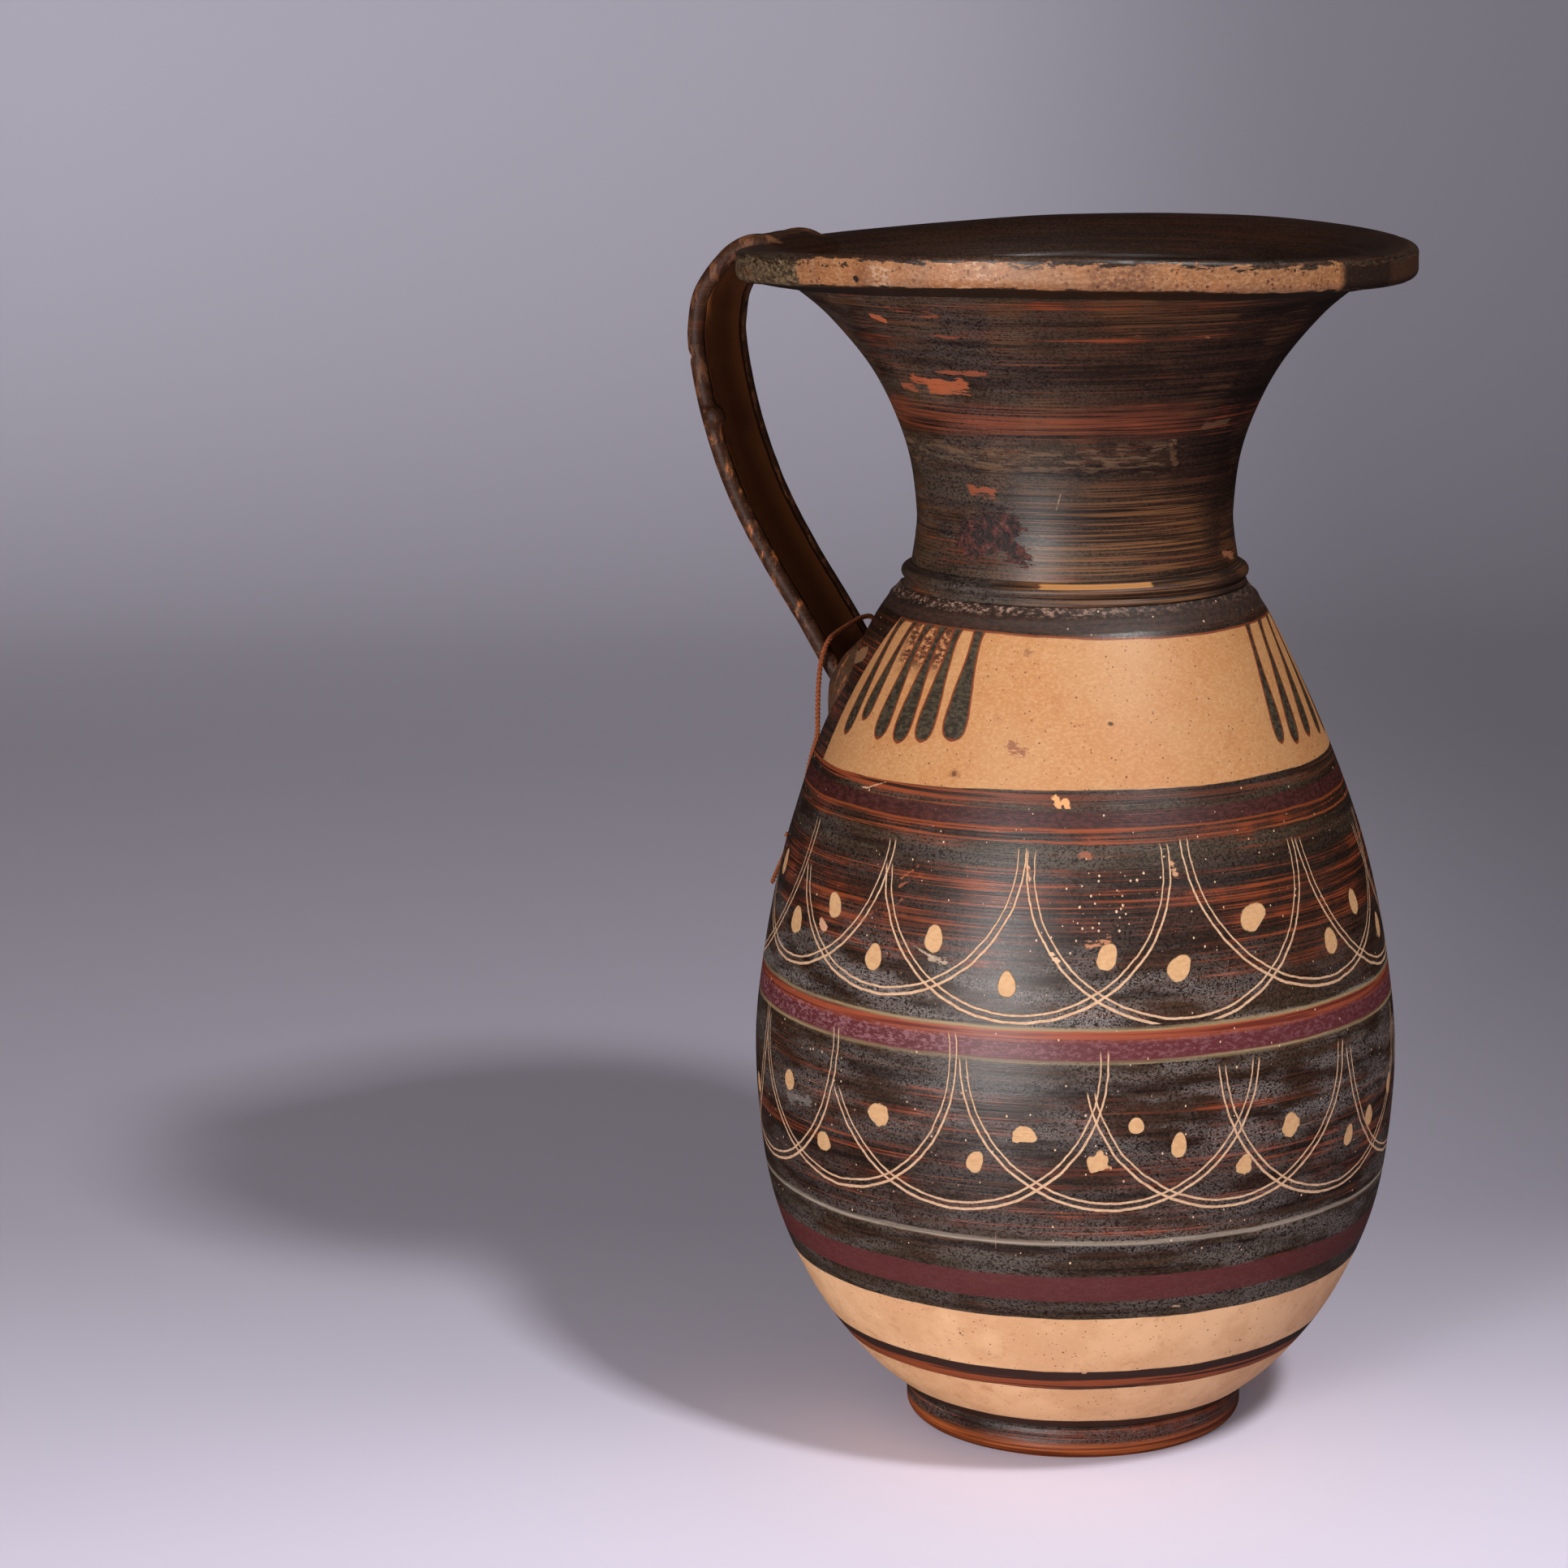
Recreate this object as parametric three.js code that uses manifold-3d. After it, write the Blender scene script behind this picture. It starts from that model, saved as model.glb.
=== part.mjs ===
// A one-handled wine jug of painted, wheel-thrown clay, shown as the pieces that its
// potter threw, rolled and luted together, with the tag string looped round its handle.
// Millimetres, +Z up. The pot stands on z = 0 round the Z axis, and the handle lies along -X.
import * as THREE from 'three';
import { mergeVertices } from 'three/addons/utils/BufferGeometryUtils.js';
import Module from 'manifold-3d';

const wasm = await Module();
wasm.setup();

// Heights of the pieces, stacked from the table up
const footHeight = 8.5;
const bodyHeight = 207.5;
const neckHeight = 74.9;
const lipThickness = 10.2; // from the neck's top to the lip's top
const lipFaceHeight = 7.8; // upright face along the lip's edge
const collarHeight = 4.6;
const handleRootDrop = 28.8; // from the body's top down to the middle of the handle's root

// Radii from the axis
const footRadius = 43.3;
const bellyRadius = 81.5;
const collarSeatRadius = 43.4; // rim of the body's flat top
const waistRadius = 39.5; // the neck's narrowest place
const lipRadius = 83.8;

// Thicknesses, steps and roundings
const wall = 5.5;
const floorThickness = 6;
const seam = 0.3; // slip-filled joint between two luted pieces
const footRoll = 3; // rounding under the foot's edge
const collarBulge = 2.2;
const collarInset = 1.9; // the collar's top lies this far in from the body's edge
const collarLedge = 2.4; // from the edge of the body's top in to the neck
const lipOverhang = 14.8;
const lipTopWidth = 6.5;
const lipEdgeRound = 1.5;
const lipUnderRound = 2.6;
const rimSag = 1.8; // how far the lip bends up and down from level
const rimSagAngle = 0.087; // turn of the low axis of that bend from the handle, radians

// Sizes of the handle
const handleWidth = 27.8;
const coilDiameter = 4.7;
const strapThickness = 3.8;
const strapHollow = 0.9; // depth of the trough along the strap's inner face
const handleBow = 16.6; // how far the handle's middle line bows out past the lip
const handleDrop = 26; // from the rim down to the handle's furthest point
const lipPadReach = 8.5;
const lipPadHalfWidth = 17;
const lipPadRise = 2.7;
const lipPadSink = 0.9; // the pad's middle lies this far under the lip's top
const lipPadInset = 9; // and this far in from the lip's edge
const rootPadReach = 17;
const rootPadHalfWidth = 17.5;
const rootPadRise = 2.7;
const rootPadLift = 0.1; // the pad's middle lies this far above the handle's root

// Sizes of the tag string
const stringDiameter = 1.3;
const knotRadius = 2.2;
const tailLength = 15.5;
const shortTailLength = 7;

// Facets
const turnFacets = 60;
const wallSteps = 18;
const neckSteps = 9;
const arcSteps = 4;
const handleSteps = 24;
const coilFacets = 10;
const padFacets = 20;
const stringFacets = 8;
const stringSteps = 52;
const tailSteps = 6;
const searchSteps = 40;
const weldShare = 1e-4;

// Outline of the body, from the foot up to the belly and from the belly up to the neck:
// [share of the way out to the belly, share of the body's height]
const lowerBodyShares = [[0, 0], [0.338, 0.055], [0.67, 0.142], [0.914, 0.258], [1, 0.417]];
const upperBodyShares = [[0.939, 0.547], [0.768, 0.692], [0.475, 0.836], [0.172, 0.952], [0, 1]];
// Outline of the neck above the collar: [share of the way out from the waist, share of the
// height], first in from the collar and then out to the flare
const neckFootShares = [[1, 0], [0.66, 0.045], [0.2, 0.109]];
const neckFlareShares = [
  [0, 0.2], [0.057, 0.387], [0.192, 0.559], [0.407, 0.73], [0.734, 0.901], [1, 1],
];
// Bend of the mouth between the lip's flat top and its foot: [share out, share up]
const mouthBendShares = [0.6, 0.72];
// Middle line of the handle, from the lip out to its furthest point, then down to the shoulder:
// [share of the way out, share of the way down]
const handleTopShares = [
  [-0.5, 0.07], [-0.2, -0.01], [0.055, 0], [0.345, 0.09], [0.675, 0.3], [0.905, 0.53], [0.982, 0.769], [1, 1],
];
const handleLegShares = [
  [0.912, 0.224], [0.739, 0.449], [0.498, 0.647], [0.263, 0.808], [0.124, 0.911], [0, 1], [-0.102, 1.076],
];

const slipBlack = { color: 0x2b1f1b, roughness: 0.42, metalness: 0 };
const paintedClay = { color: 0x4a2a20, roughness: 0.45, metalness: 0 };
const buffClay = { color: 0xc98f55, roughness: 0.6, metalness: 0 };
const linen = { color: 0xa8602a, roughness: 0.85, metalness: 0 };

// Mixes two sizes by a share
function between(from, to, share) {
  return from + (to - from) * share;
}

// Radius of a smooth outline at a height, and its slope there
function outlineAt(points, height) {
  const curve = new THREE.SplineCurve(points.map(([r, z]) => new THREE.Vector2(r, z)));
  let low = 0;
  let high = 1;
  for (let i = 0; i < searchSteps; i += 1) {
    const middle = (low + high) / 2;
    if (curve.getPoint(middle).y < height) low = middle;
    else high = middle;
  }
  const along = curve.getTangent(low);
  return { radius: curve.getPoint(low).x, slope: along.x / along.y };
}

// Points of a round corner from one direction to another, in radians
function corner(r, z, radius, start, end) {
  return Array.from({ length: arcSteps + 1 }, (_, i) => {
    const angle = between(start, end, i / arcSteps);
    return [r + radius * Math.cos(angle), z + radius * Math.sin(angle)];
  });
}

// A form turned on the wheel from [radius, height] points
function turned(points) {
  const outline = points.map(([r, z]) => new THREE.Vector2(r, z));
  const geometry = new THREE.LatheGeometry(outline, turnFacets);
  geometry.rotateX(Math.PI / 2);
  return geometry;
}

// A closed geometry as a solid that can be cut
function solid(geometry) {
  const bare = geometry.clone();
  bare.deleteAttribute('normal');
  bare.deleteAttribute('uv');
  const merged = mergeVertices(bare, weldShare);
  const index = merged.index.array;
  const triangles = [];
  for (let i = 0; i < index.length; i += 3) {
    const [a, b, c] = [index[i], index[i + 1], index[i + 2]];
    if (a !== b && b !== c && c !== a) triangles.push(a, b, c);
  }
  return new wasm.Manifold(new wasm.Mesh({
    numProp: 3,
    vertProperties: new Float32Array(merged.attributes.position.array),
    triVerts: new Uint32Array(triangles),
  }));
}

// A cut solid back as a geometry
function geometryOf(form) {
  const mesh = form.getMesh();
  const geometry = new THREE.BufferGeometry();
  geometry.setAttribute('position', new THREE.BufferAttribute(new Float32Array(mesh.vertProperties), 3));
  geometry.setIndex(new THREE.BufferAttribute(new Uint32Array(mesh.triVerts), 1));
  geometry.computeVertexNormals();
  return geometry;
}

// Levels of the joints
const bodyTopHeight = footHeight + bodyHeight;
const lipJointHeight = bodyTopHeight + neckHeight;
const rimHeight = lipJointHeight + lipThickness;
const handleRootHeight = bodyTopHeight - handleRootDrop;
const collarTopHeight = bodyTopHeight + seam + collarHeight;

// The lip bent up and down in the kiln: it lies lowest near the handle and across from it.
// The bend dies out down the neck and towards the axis.
const waistHeight = between(collarTopHeight, lipJointHeight, neckFlareShares[0][1]);
function sagged(geometry) {
  const position = geometry.attributes.position;
  const point = new THREE.Vector3();
  for (let i = 0; i < position.count; i += 1) {
    point.fromBufferAttribute(position, i);
    const out = Math.min(1, Math.hypot(point.x, point.y) / lipRadius);
    const angle = Math.atan2(point.y, point.x) - rimSagAngle;
    const rise = THREE.MathUtils.smoothstep(point.z, waistHeight, rimHeight);
    position.setZ(i, point.z - rimSag * rise * out * out * Math.cos(2 * angle));
  }
  geometry.computeVertexNormals();
  return geometry;
}

const group = new THREE.Group();
function add(name, geometry, finish) {
  const mesh = new THREE.Mesh(geometry, new THREE.MeshStandardMaterial(finish));
  mesh.name = name;
  group.add(mesh);
}

// Foot: a low disc with a rolled lower edge
const footBase = footRadius - footRoll;
add('foot', turned([
  [0, 0],
  ...corner(footBase, footRoll, footRoll, -Math.PI / 2, 0),
  [footRadius, footHeight],
  [0, footHeight],
]), paintedClay);

// Body: an egg-shaped shell, open at the top, where the neck stands on its flat edge
const bodyOutline = [
  ...lowerBodyShares.map(([r, z]) => [between(footRadius, bellyRadius, r), footHeight + bodyHeight * z]),
  ...upperBodyShares.map(([r, z]) => [between(collarSeatRadius, bellyRadius, r), footHeight + bodyHeight * z]),
];
function bodyInside(height) {
  const { radius, slope } = outlineAt(bodyOutline, height);
  return radius - wall * Math.hypot(1, slope);
}
const bodyBase = footHeight + seam;
const floorTop = bodyBase + floorThickness;
const bodyOutside = Array.from({ length: wallSteps + 1 }, (_, i) => {
  const share = (1 - Math.cos(Math.PI * (i / wallSteps))) / 2;
  const height = between(bodyBase, bodyTopHeight, share);
  return [outlineAt(bodyOutline, height).radius, height];
});
const bodyHollow = Array.from({ length: wallSteps }, (_, i) => {
  const height = between(bodyTopHeight, floorTop + wall, i / (wallSteps - 1));
  return [bodyInside(height), height];
});
const floorEdge = bodyInside(floorTop + wall) - wall;
add('body', turned([[0, bodyBase], ...bodyOutside, ...bodyHollow, [floorEdge, floorTop], [0, floorTop]]), paintedClay);

// Neck: a trumpet that stands on the body's top, straight inside the collar
const neckBase = bodyTopHeight + seam;
const neckFootRadius = collarSeatRadius - collarLedge;
const flareRadius = lipRadius - lipOverhang;
const trumpetHeight = lipJointHeight - collarTopHeight;
const neckOutline = [
  ...neckFootShares.map(([r, z]) => [between(waistRadius, neckFootRadius, r), collarTopHeight + trumpetHeight * z]),
  ...neckFlareShares.map(([r, z]) => [between(waistRadius, flareRadius, r), collarTopHeight + trumpetHeight * z]),
];
function neckInside(height) {
  const { radius, slope } = outlineAt(neckOutline, height);
  return radius - wall * Math.hypot(1, slope);
}
const neckHeights = Array.from({ length: neckSteps + 1 }, (_, i) => (
  between(collarTopHeight, lipJointHeight, i / neckSteps)
));
const neckOutside = neckHeights.map((height) => [outlineAt(neckOutline, height).radius, height]);
const neckHollow = neckHeights.map((height) => [neckInside(height), height]).reverse();
add('neck', sagged(turned([
  [neckFootRadius, neckBase],
  ...neckOutside,
  ...neckHollow,
  [neckFootRadius - wall, neckBase],
  [neckFootRadius, neckBase],
])), slipBlack);

// Collar: a bead of clay round the foot of the neck that hides the joint. Its outline starts
// a little under its widest place and rounds over to its top.
const collarInside = neckFootRadius + seam;
const collarTopRadius = collarSeatRadius - collarInset;
const collarUnder = -Math.PI / 6;
const collarRise = collarHeight / (1 - Math.sin(collarUnder));
const collarMiddle = neckBase + collarHeight - collarRise;
const collarBead = Array.from({ length: arcSteps + 1 }, (_, i) => {
  const angle = between(collarUnder, Math.PI / 2, i / arcSteps);
  return [collarTopRadius + collarBulge * Math.cos(angle), collarMiddle + collarRise * Math.sin(angle)];
});
add('collar_ring', turned([
  [collarInside, neckBase],
  ...collarBead,
  [collarInside, collarTopHeight],
  [collarInside, neckBase],
]), slipBlack);

// Lip: a flat overhanging ring with an upright painted face. Its outline can be drawn a
// little larger, to cut the handle where it is pressed on to it.
const lipFaceBottom = rimHeight - lipFaceHeight;
const lipMouth = neckInside(lipJointHeight);
const [bendOut, bendUp] = mouthBendShares;
function lipOutline(grow) {
  const edge = lipRadius + grow;
  const top = rimHeight + grow;
  const joint = lipJointHeight + seam - grow;
  const underEdge = lipRadius - lipUnderRound;
  return [
    [lipMouth, joint],
    [flareRadius, joint],
    ...corner(underEdge, lipFaceBottom + lipUnderRound, lipUnderRound + grow, -Math.PI / 2, 0),
    ...corner(edge - lipEdgeRound, top - lipEdgeRound, lipEdgeRound, 0, Math.PI / 2),
    [lipRadius - lipTopWidth, top],
    [between(lipMouth, lipRadius - lipTopWidth, bendOut), between(joint, top, bendUp)],
    [lipMouth, joint],
  ];
}
add('lip', sagged(turned(lipOutline(0))), buffClay);

// Handle: a strap between two rolled coils, pressed on to the lip and the shoulder
const handleRootRadius = outlineAt(bodyOutline, handleRootHeight).radius;
const handleReach = lipRadius + handleBow;
const handleBendHeight = rimHeight - handleDrop;
const handleLine = [
  ...handleTopShares.map(([out, down]) => [between(lipRadius, handleReach, out), rimHeight - handleDrop * down]),
  ...handleLegShares.map(([out, down]) => [
    between(handleRootRadius, handleReach, out),
    between(handleBendHeight, handleRootHeight, down),
  ]),
];
function handlePath(side) {
  return new THREE.CatmullRomCurve3(handleLine.map(([r, z]) => new THREE.Vector3(-r, side, z)), false, 'centripetal');
}

// A round section to sweep along a path
function roundSection(diameter, facets) {
  const shape = new THREE.Shape();
  for (let i = 0; i < facets; i += 1) {
    const angle = (2 * Math.PI * i) / facets;
    const x = (diameter / 2) * Math.cos(angle);
    const y = (diameter / 2) * Math.sin(angle);
    if (i === 0) shape.moveTo(x, y);
    else shape.lineTo(x, y);
  }
  shape.closePath();
  return shape;
}

function swept(shape, path, steps) {
  return new THREE.ExtrudeGeometry(shape, { steps, curveSegments: arcSteps, bevelEnabled: false, extrudePath: path });
}

const coilOffset = (handleWidth - coilDiameter) / 2;
const strapHalfWidth = coilOffset - coilDiameter / 2 - seam;
const strapSection = new THREE.Shape();
strapSection.moveTo(-strapHalfWidth, -strapThickness / 2);
strapSection.lineTo(strapHalfWidth, -strapThickness / 2);
strapSection.lineTo(strapHalfWidth, strapThickness / 2);
strapSection.quadraticCurveTo(0, strapThickness / 2 - 2 * strapHollow, -strapHalfWidth, strapThickness / 2);
strapSection.closePath();

// An egg-shaped lump of clay, turned to lie along the surface that it is pressed on to
function lump(reach, halfWidth, rise, tilt, x, z, grow) {
  const geometry = new THREE.SphereGeometry(1, padFacets, padFacets / 2);
  geometry.scale(reach + grow, halfWidth + grow, rise + grow);
  geometry.rotateY(tilt);
  geometry.translate(x, 0, z);
  return solid(geometry);
}
const rootPadHeight = handleRootHeight + rootPadLift;
const rootPadPlace = outlineAt(bodyOutline, rootPadHeight);
const rootPadTilt = -Math.PI / 2 - Math.atan(rootPadPlace.slope);
function rootPadLump(grow) {
  return lump(rootPadReach, rootPadHalfWidth, rootPadRise, rootPadTilt, -rootPadPlace.radius, rootPadHeight, grow);
}
function lipPadLump(grow) {
  return lump(lipPadReach, lipPadHalfWidth, lipPadRise, 0, lipPadInset - lipRadius, rimHeight - lipPadSink, grow);
}

// The pot's own clay, drawn larger by the slip in the joint, that every applied piece is
// fitted to. The shoulder leans, so the same slip reaches further out level than square to it.
const shoulderReach = seam * 2;
const bodyEnvelope = solid(turned([
  [0, footHeight],
  ...bodyOutside.map(([r, z]) => [r + shoulderReach, z]),
  [0, bodyTopHeight],
]));
const lipEnvelope = solid(turned(lipOutline(seam)));

const rootPad = rootPadLump(0).subtract(bodyEnvelope);
const lipPad = lipPadLump(0).subtract(lipEnvelope);
const seats = [bodyEnvelope, lipEnvelope, rootPadLump(seam), lipPadLump(seam)];
function fitted(geometry) {
  return seats.reduce((form, seat) => form.subtract(seat), solid(geometry));
}

const strap = fitted(swept(strapSection, handlePath(0), handleSteps));
add('handle_strap', sagged(geometryOf(strap)), slipBlack);
const coilSection = roundSection(coilDiameter, coilFacets);
for (const [name, side] of [['handle_coil_near', -1], ['handle_coil_far', 1]]) {
  const coil = fitted(swept(coilSection, handlePath(side * coilOffset), handleSteps));
  add(name, sagged(geometryOf(coil)), slipBlack);
}
add('handle_root_pad', geometryOf(rootPad), slipBlack);
add('handle_lip_pad', sagged(geometryOf(lipPad)), slipBlack);

// Tag string: a loop through the handle over its root, both strands hanging down the
// shoulder to one knot. The route is chosen by hand, from the knot round and back to it.
const stringRoute = [
  [-76.3, -5.2, 147.4], [-75.1, -4.2, 149.6], [-72.9, 0.4, 155], [-70.4, 5.8, 162], [-67.6, 10.8, 169],
  [-64.7, 15.2, 175], [-63.9, 16.4, 179.5], [-63.6, 16.8, 185], [-63.3, 16.8, 190.5], [-62.9, 16.6, 194.5],
  [-62.4, 15.8, 198.4], [-62.9, 13.2, 201.2], [-63.5, 9, 201.7], [-63.4, 3, 201.2], [-63.2, -3, 200.6],
  [-62.8, -9, 199.9], [-62.2, -13, 199.3], [-62.3, -15.6, 197.2], [-62.9, -16.7, 193.8], [-63.4, -16.9, 189.5],
  [-63.8, -16.8, 184.5], [-64.1, -16.5, 179.3], [-64.6, -15.9, 174.8], [-67.0, -14.4, 169], [-69.6, -12.4, 162],
  [-72.1, -10.3, 155], [-75.0, -8.8, 149.6], [-76.3, -8.0, 147.4],
];
const stringPath = new THREE.CatmullRomCurve3(stringRoute.map((p) => new THREE.Vector3(...p)), false, 'centripetal');
add('tag_string', swept(roundSection(stringDiameter, stringFacets), stringPath, stringSteps), linen);

// Knot under the loop, with its two cut tails
const knotPlace = new THREE.Vector3(-77.2, -6.6, 144.9);
const tailAim = new THREE.Vector3(0.03, -0.78, -0.62);
const shortTailAim = new THREE.Vector3(-0.2, 0.35, -0.9);
function tail(aim, length) {
  const end = knotPlace.clone().addScaledVector(aim.clone().normalize(), length);
  const path = new THREE.LineCurve3(knotPlace, end);
  return solid(swept(roundSection(stringDiameter, stringFacets), path, tailSteps));
}
const knotBall = new THREE.SphereGeometry(knotRadius, padFacets / 2, padFacets / 2);
knotBall.translate(...knotPlace);
const knot = solid(knotBall).add(tail(tailAim, tailLength)).add(tail(shortTailAim, shortTailLength));
add('tag_string_knot', geometryOf(knot), linen);

export default group;
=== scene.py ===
# %% [markdown]
# # A painted clay jug with a trumpet neck
#
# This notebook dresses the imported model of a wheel-thrown wine jug. The model gives the
# sizes and the place of every piece. Here each plain solid gets the smooth, slightly uneven
# shape that a potter's hands leave, and a procedural finish: black-brown slip with wheel
# streaks, bare buff clay, purple-red bands, compass-drawn arcs and scraped dots.

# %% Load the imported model
import bpy
import math
import random
from mathutils import Matrix, Vector, noise


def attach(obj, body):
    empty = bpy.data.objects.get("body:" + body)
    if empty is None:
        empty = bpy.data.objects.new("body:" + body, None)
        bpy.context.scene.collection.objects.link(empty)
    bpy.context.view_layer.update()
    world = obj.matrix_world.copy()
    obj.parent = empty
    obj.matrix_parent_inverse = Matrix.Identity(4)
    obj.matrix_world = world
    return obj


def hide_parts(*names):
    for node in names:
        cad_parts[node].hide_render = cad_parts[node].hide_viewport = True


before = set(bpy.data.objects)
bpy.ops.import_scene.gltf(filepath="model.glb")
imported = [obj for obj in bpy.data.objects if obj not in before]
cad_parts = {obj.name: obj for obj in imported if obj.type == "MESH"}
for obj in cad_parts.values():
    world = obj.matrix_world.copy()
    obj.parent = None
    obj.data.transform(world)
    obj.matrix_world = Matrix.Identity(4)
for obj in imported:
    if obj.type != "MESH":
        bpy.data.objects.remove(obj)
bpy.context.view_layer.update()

# %% [markdown]
# ## The camera
#
# A long lens from a little above the lip, turned 27 degrees from square on to
# the handle, shows the jug as the photograph does.

# %% Set up the camera
LOOK = Vector((-0.44814, 0.87168, -0.19837)).normalized()
RIGHT = LOOK.cross(Vector((-0.07958, 0.18212, 0.98005))).normalized()
LEVEL_LOOK = Vector((LOOK.x, LOOK.y, 0)).normalized()
LEVEL_RIGHT = Vector((LEVEL_LOOK.y, -LEVEL_LOOK.x, 0))

lens = bpy.data.cameras.new("Long lens")
lens.lens = 92.35
lens.sensor_width = 36
camera = bpy.data.objects.new("Camera", lens)
camera.matrix_world = Matrix.Translation((0.39054, -0.92004, 0.36694)) @ Matrix(
    (RIGHT, RIGHT.cross(LOOK), -LOOK)
).transposed().to_4x4()
bpy.context.collection.objects.link(camera)
bpy.context.scene.camera = camera
bpy.context.scene.view_settings.view_transform = "Standard"
print("camera at, mm:", [round(1000 * v) for v in camera.matrix_world.translation])

# %% [markdown]
# ## Lines and meshes
#
# Nearly every piece starts from a smooth line: the outline that the wheel turned, the
# middle of the handle, or the way that the string lies. `through` draws such a line through
# a few chosen points. `skin` makes an object from rings of points that follow each other.
# Sizes here are in millimetres, and the meshes are written in metres.

# %% Draw a smooth line through a few points
def through(points, steps, ease=0.0):
    """A smooth line through points: ease 0 spaces it evenly, 0.5 keeps tight bends round."""
    points = [Vector(p) for p in points]
    first = points[0] if ease == 0 else 2 * points[0] - points[1]
    last = points[-1] if ease == 0 else 2 * points[-1] - points[-2]
    chain = [first, *points, last]
    line = []
    for a, b, c, d in zip(chain, chain[1:], chain[2:], chain[3:]):
        before, here, after = [(q - p).length ** ease for p, q in ((a, b), (b, c), (c, d))]
        leave = ((b - a) / before - (c - a) / (before + here) + (c - b) / here) * here
        reach = ((c - b) / here - (d - b) / (here + after) + (d - c) / after) * here
        for i in range(steps):
            t = i / steps
            line.append(
                b * (2 * t**3 - 3 * t**2 + 1) + c * (3 * t**2 - 2 * t**3)
                + leave * (t**3 - 2 * t**2 + t) + reach * (t**3 - t**2)
            )
    return line + [points[-1]]


def evenly(line, gap):
    """The same line with points a fixed gap apart."""
    total = sum((q - p).length for p, q in zip(line, line[1:]))
    count = max(2, round(total / gap))
    step, spaced, due, gone = total / count, [line[0]], total / count, 0.0
    for p, q in zip(line, line[1:]):
        length = (q - p).length
        while due <= gone + length and len(spaced) < count:
            spaced.append(p.lerp(q, (due - gone) / length))
            due += step
        gone += length
    return spaced + [line[-1]]


# %% Make an object from rings of points
def skin(name, rings, closed=False, node=None, slot=None):
    """Joins rings of points, in mm, into one mesh. A ring of one point is a pole or a cap."""
    points, faces, starts = [], [], []
    for ring in rings:
        starts.append(len(points))
        points += [0.001 * p for p in ring]
    pairs = list(zip(range(len(rings)), range(1, len(rings))))
    if closed:
        pairs.append((len(rings) - 1, 0))
    for a, b in pairs:
        many = max(len(rings[a]), len(rings[b]))
        for i in range(many):
            j = (i + 1) % many
            corners = [
                starts[a] + (i if len(rings[a]) > 1 else 0), starts[a] + (j if len(rings[a]) > 1 else 0),
                starts[b] + (j if len(rings[b]) > 1 else 0), starts[b] + (i if len(rings[b]) > 1 else 0),
            ]
            faces.append(list(dict.fromkeys(corners)))
    mesh = bpy.data.meshes.new(name)
    mesh.from_pydata(points, [], faces)
    mesh.shade_smooth()
    piece = bpy.data.objects.new(name, mesh)
    bpy.context.collection.objects.link(piece)
    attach(piece, "root")
    if node:
        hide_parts(*node.split())
    print(f"{name}: {len(points)} points, {len(faces)} faces")
    return piece


# %% [markdown]
# ## The tag string
#
# A thin orange thread is looped through the handle over its root. It is two plies twisted
# together, which shows as slanting ridges. A round tube would look like wire, so each ply is
# its own tube, wound round the middle line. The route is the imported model's own.

# %% Wind two plies round a line
def yarn_rings(line, thickness, pitch=2.3, sides=8):
    """Rings for the two plies of a twisted thread along a line, one list for each ply."""
    line = evenly(line, 0.3)
    plies, across, along = ([], []), None, 0.0
    for i, point in enumerate(line):
        ahead = (line[min(i + 1, len(line) - 1)] - line[max(i - 1, 0)]).normalized()
        across = (across or ahead.orthogonal()) - ahead * ahead.dot(across or ahead.orthogonal())
        across.normalize()
        other = ahead.cross(across)
        if i:
            along += (point - line[i - 1]).length
        for side, ply in enumerate(plies):
            turn = 2 * math.pi * along / pitch + math.pi * side
            middle = point + 0.22 * thickness * (math.cos(turn) * across + math.sin(turn) * other)
            swell = thickness * (0.34 + 0.02 * noise.noise(point * 1.7))
            ply.append([
                middle + swell * (math.cos(a) * across + math.sin(a) * other)
                for a in (2 * math.pi * k / sides for k in range(sides))
            ])
    return plies


def joined(name, ring_lists, **words):
    """One object from several separate tubes with closed ends."""
    parts = []
    for rings in ring_lists:
        ends = [sum(ring, Vector()) / len(ring) for ring in (rings[0], rings[-1])]
        parts.append(skin(name + " part", [[ends[0]], *rings, [ends[1]]]))
    with bpy.context.temp_override(
        active_object=parts[0], selected_editable_objects=parts, selected_objects=parts
    ):
        bpy.ops.object.join()
    piece = parts[0]
    piece.name = name
    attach(piece, "root")
    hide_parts(*words["node"].split())
    return piece


# %% Lay the string and tie its knot
STRING = 1.3
STRING_ROUTE = [
    (-76.3, -5.2, 147.4), (-75.1, -4.2, 149.6), (-72.9, 0.4, 155), (-70.4, 5.8, 162), (-67.6, 10.8, 169),
    (-64.7, 15.2, 175), (-63.9, 16.4, 179.5), (-63.6, 16.8, 185), (-63.3, 16.8, 190.5), (-62.9, 16.6, 194.5),
    (-62.4, 15.8, 198.4), (-62.9, 13.2, 201.2), (-63.5, 9, 201.7), (-63.4, 3, 201.2), (-63.2, -3, 200.6),
    (-62.8, -9, 199.9), (-62.2, -13, 199.3), (-62.3, -15.6, 197.2), (-62.9, -16.7, 193.8), (-63.4, -16.9, 189.5),
    (-63.8, -16.8, 184.5), (-64.1, -16.5, 179.3), (-64.6, -15.9, 174.8), (-67.0, -14.4, 169), (-69.6, -12.4, 162),
    (-72.1, -10.3, 155), (-75.0, -8.8, 149.6), (-76.3, -8.0, 147.4),
]
string_line = evenly(through(STRING_ROUTE, 12, 0.5), 1.0)
string = joined("tag_string_loop", yarn_rings(string_line, STRING), node="tag_string", slot="string")

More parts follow.
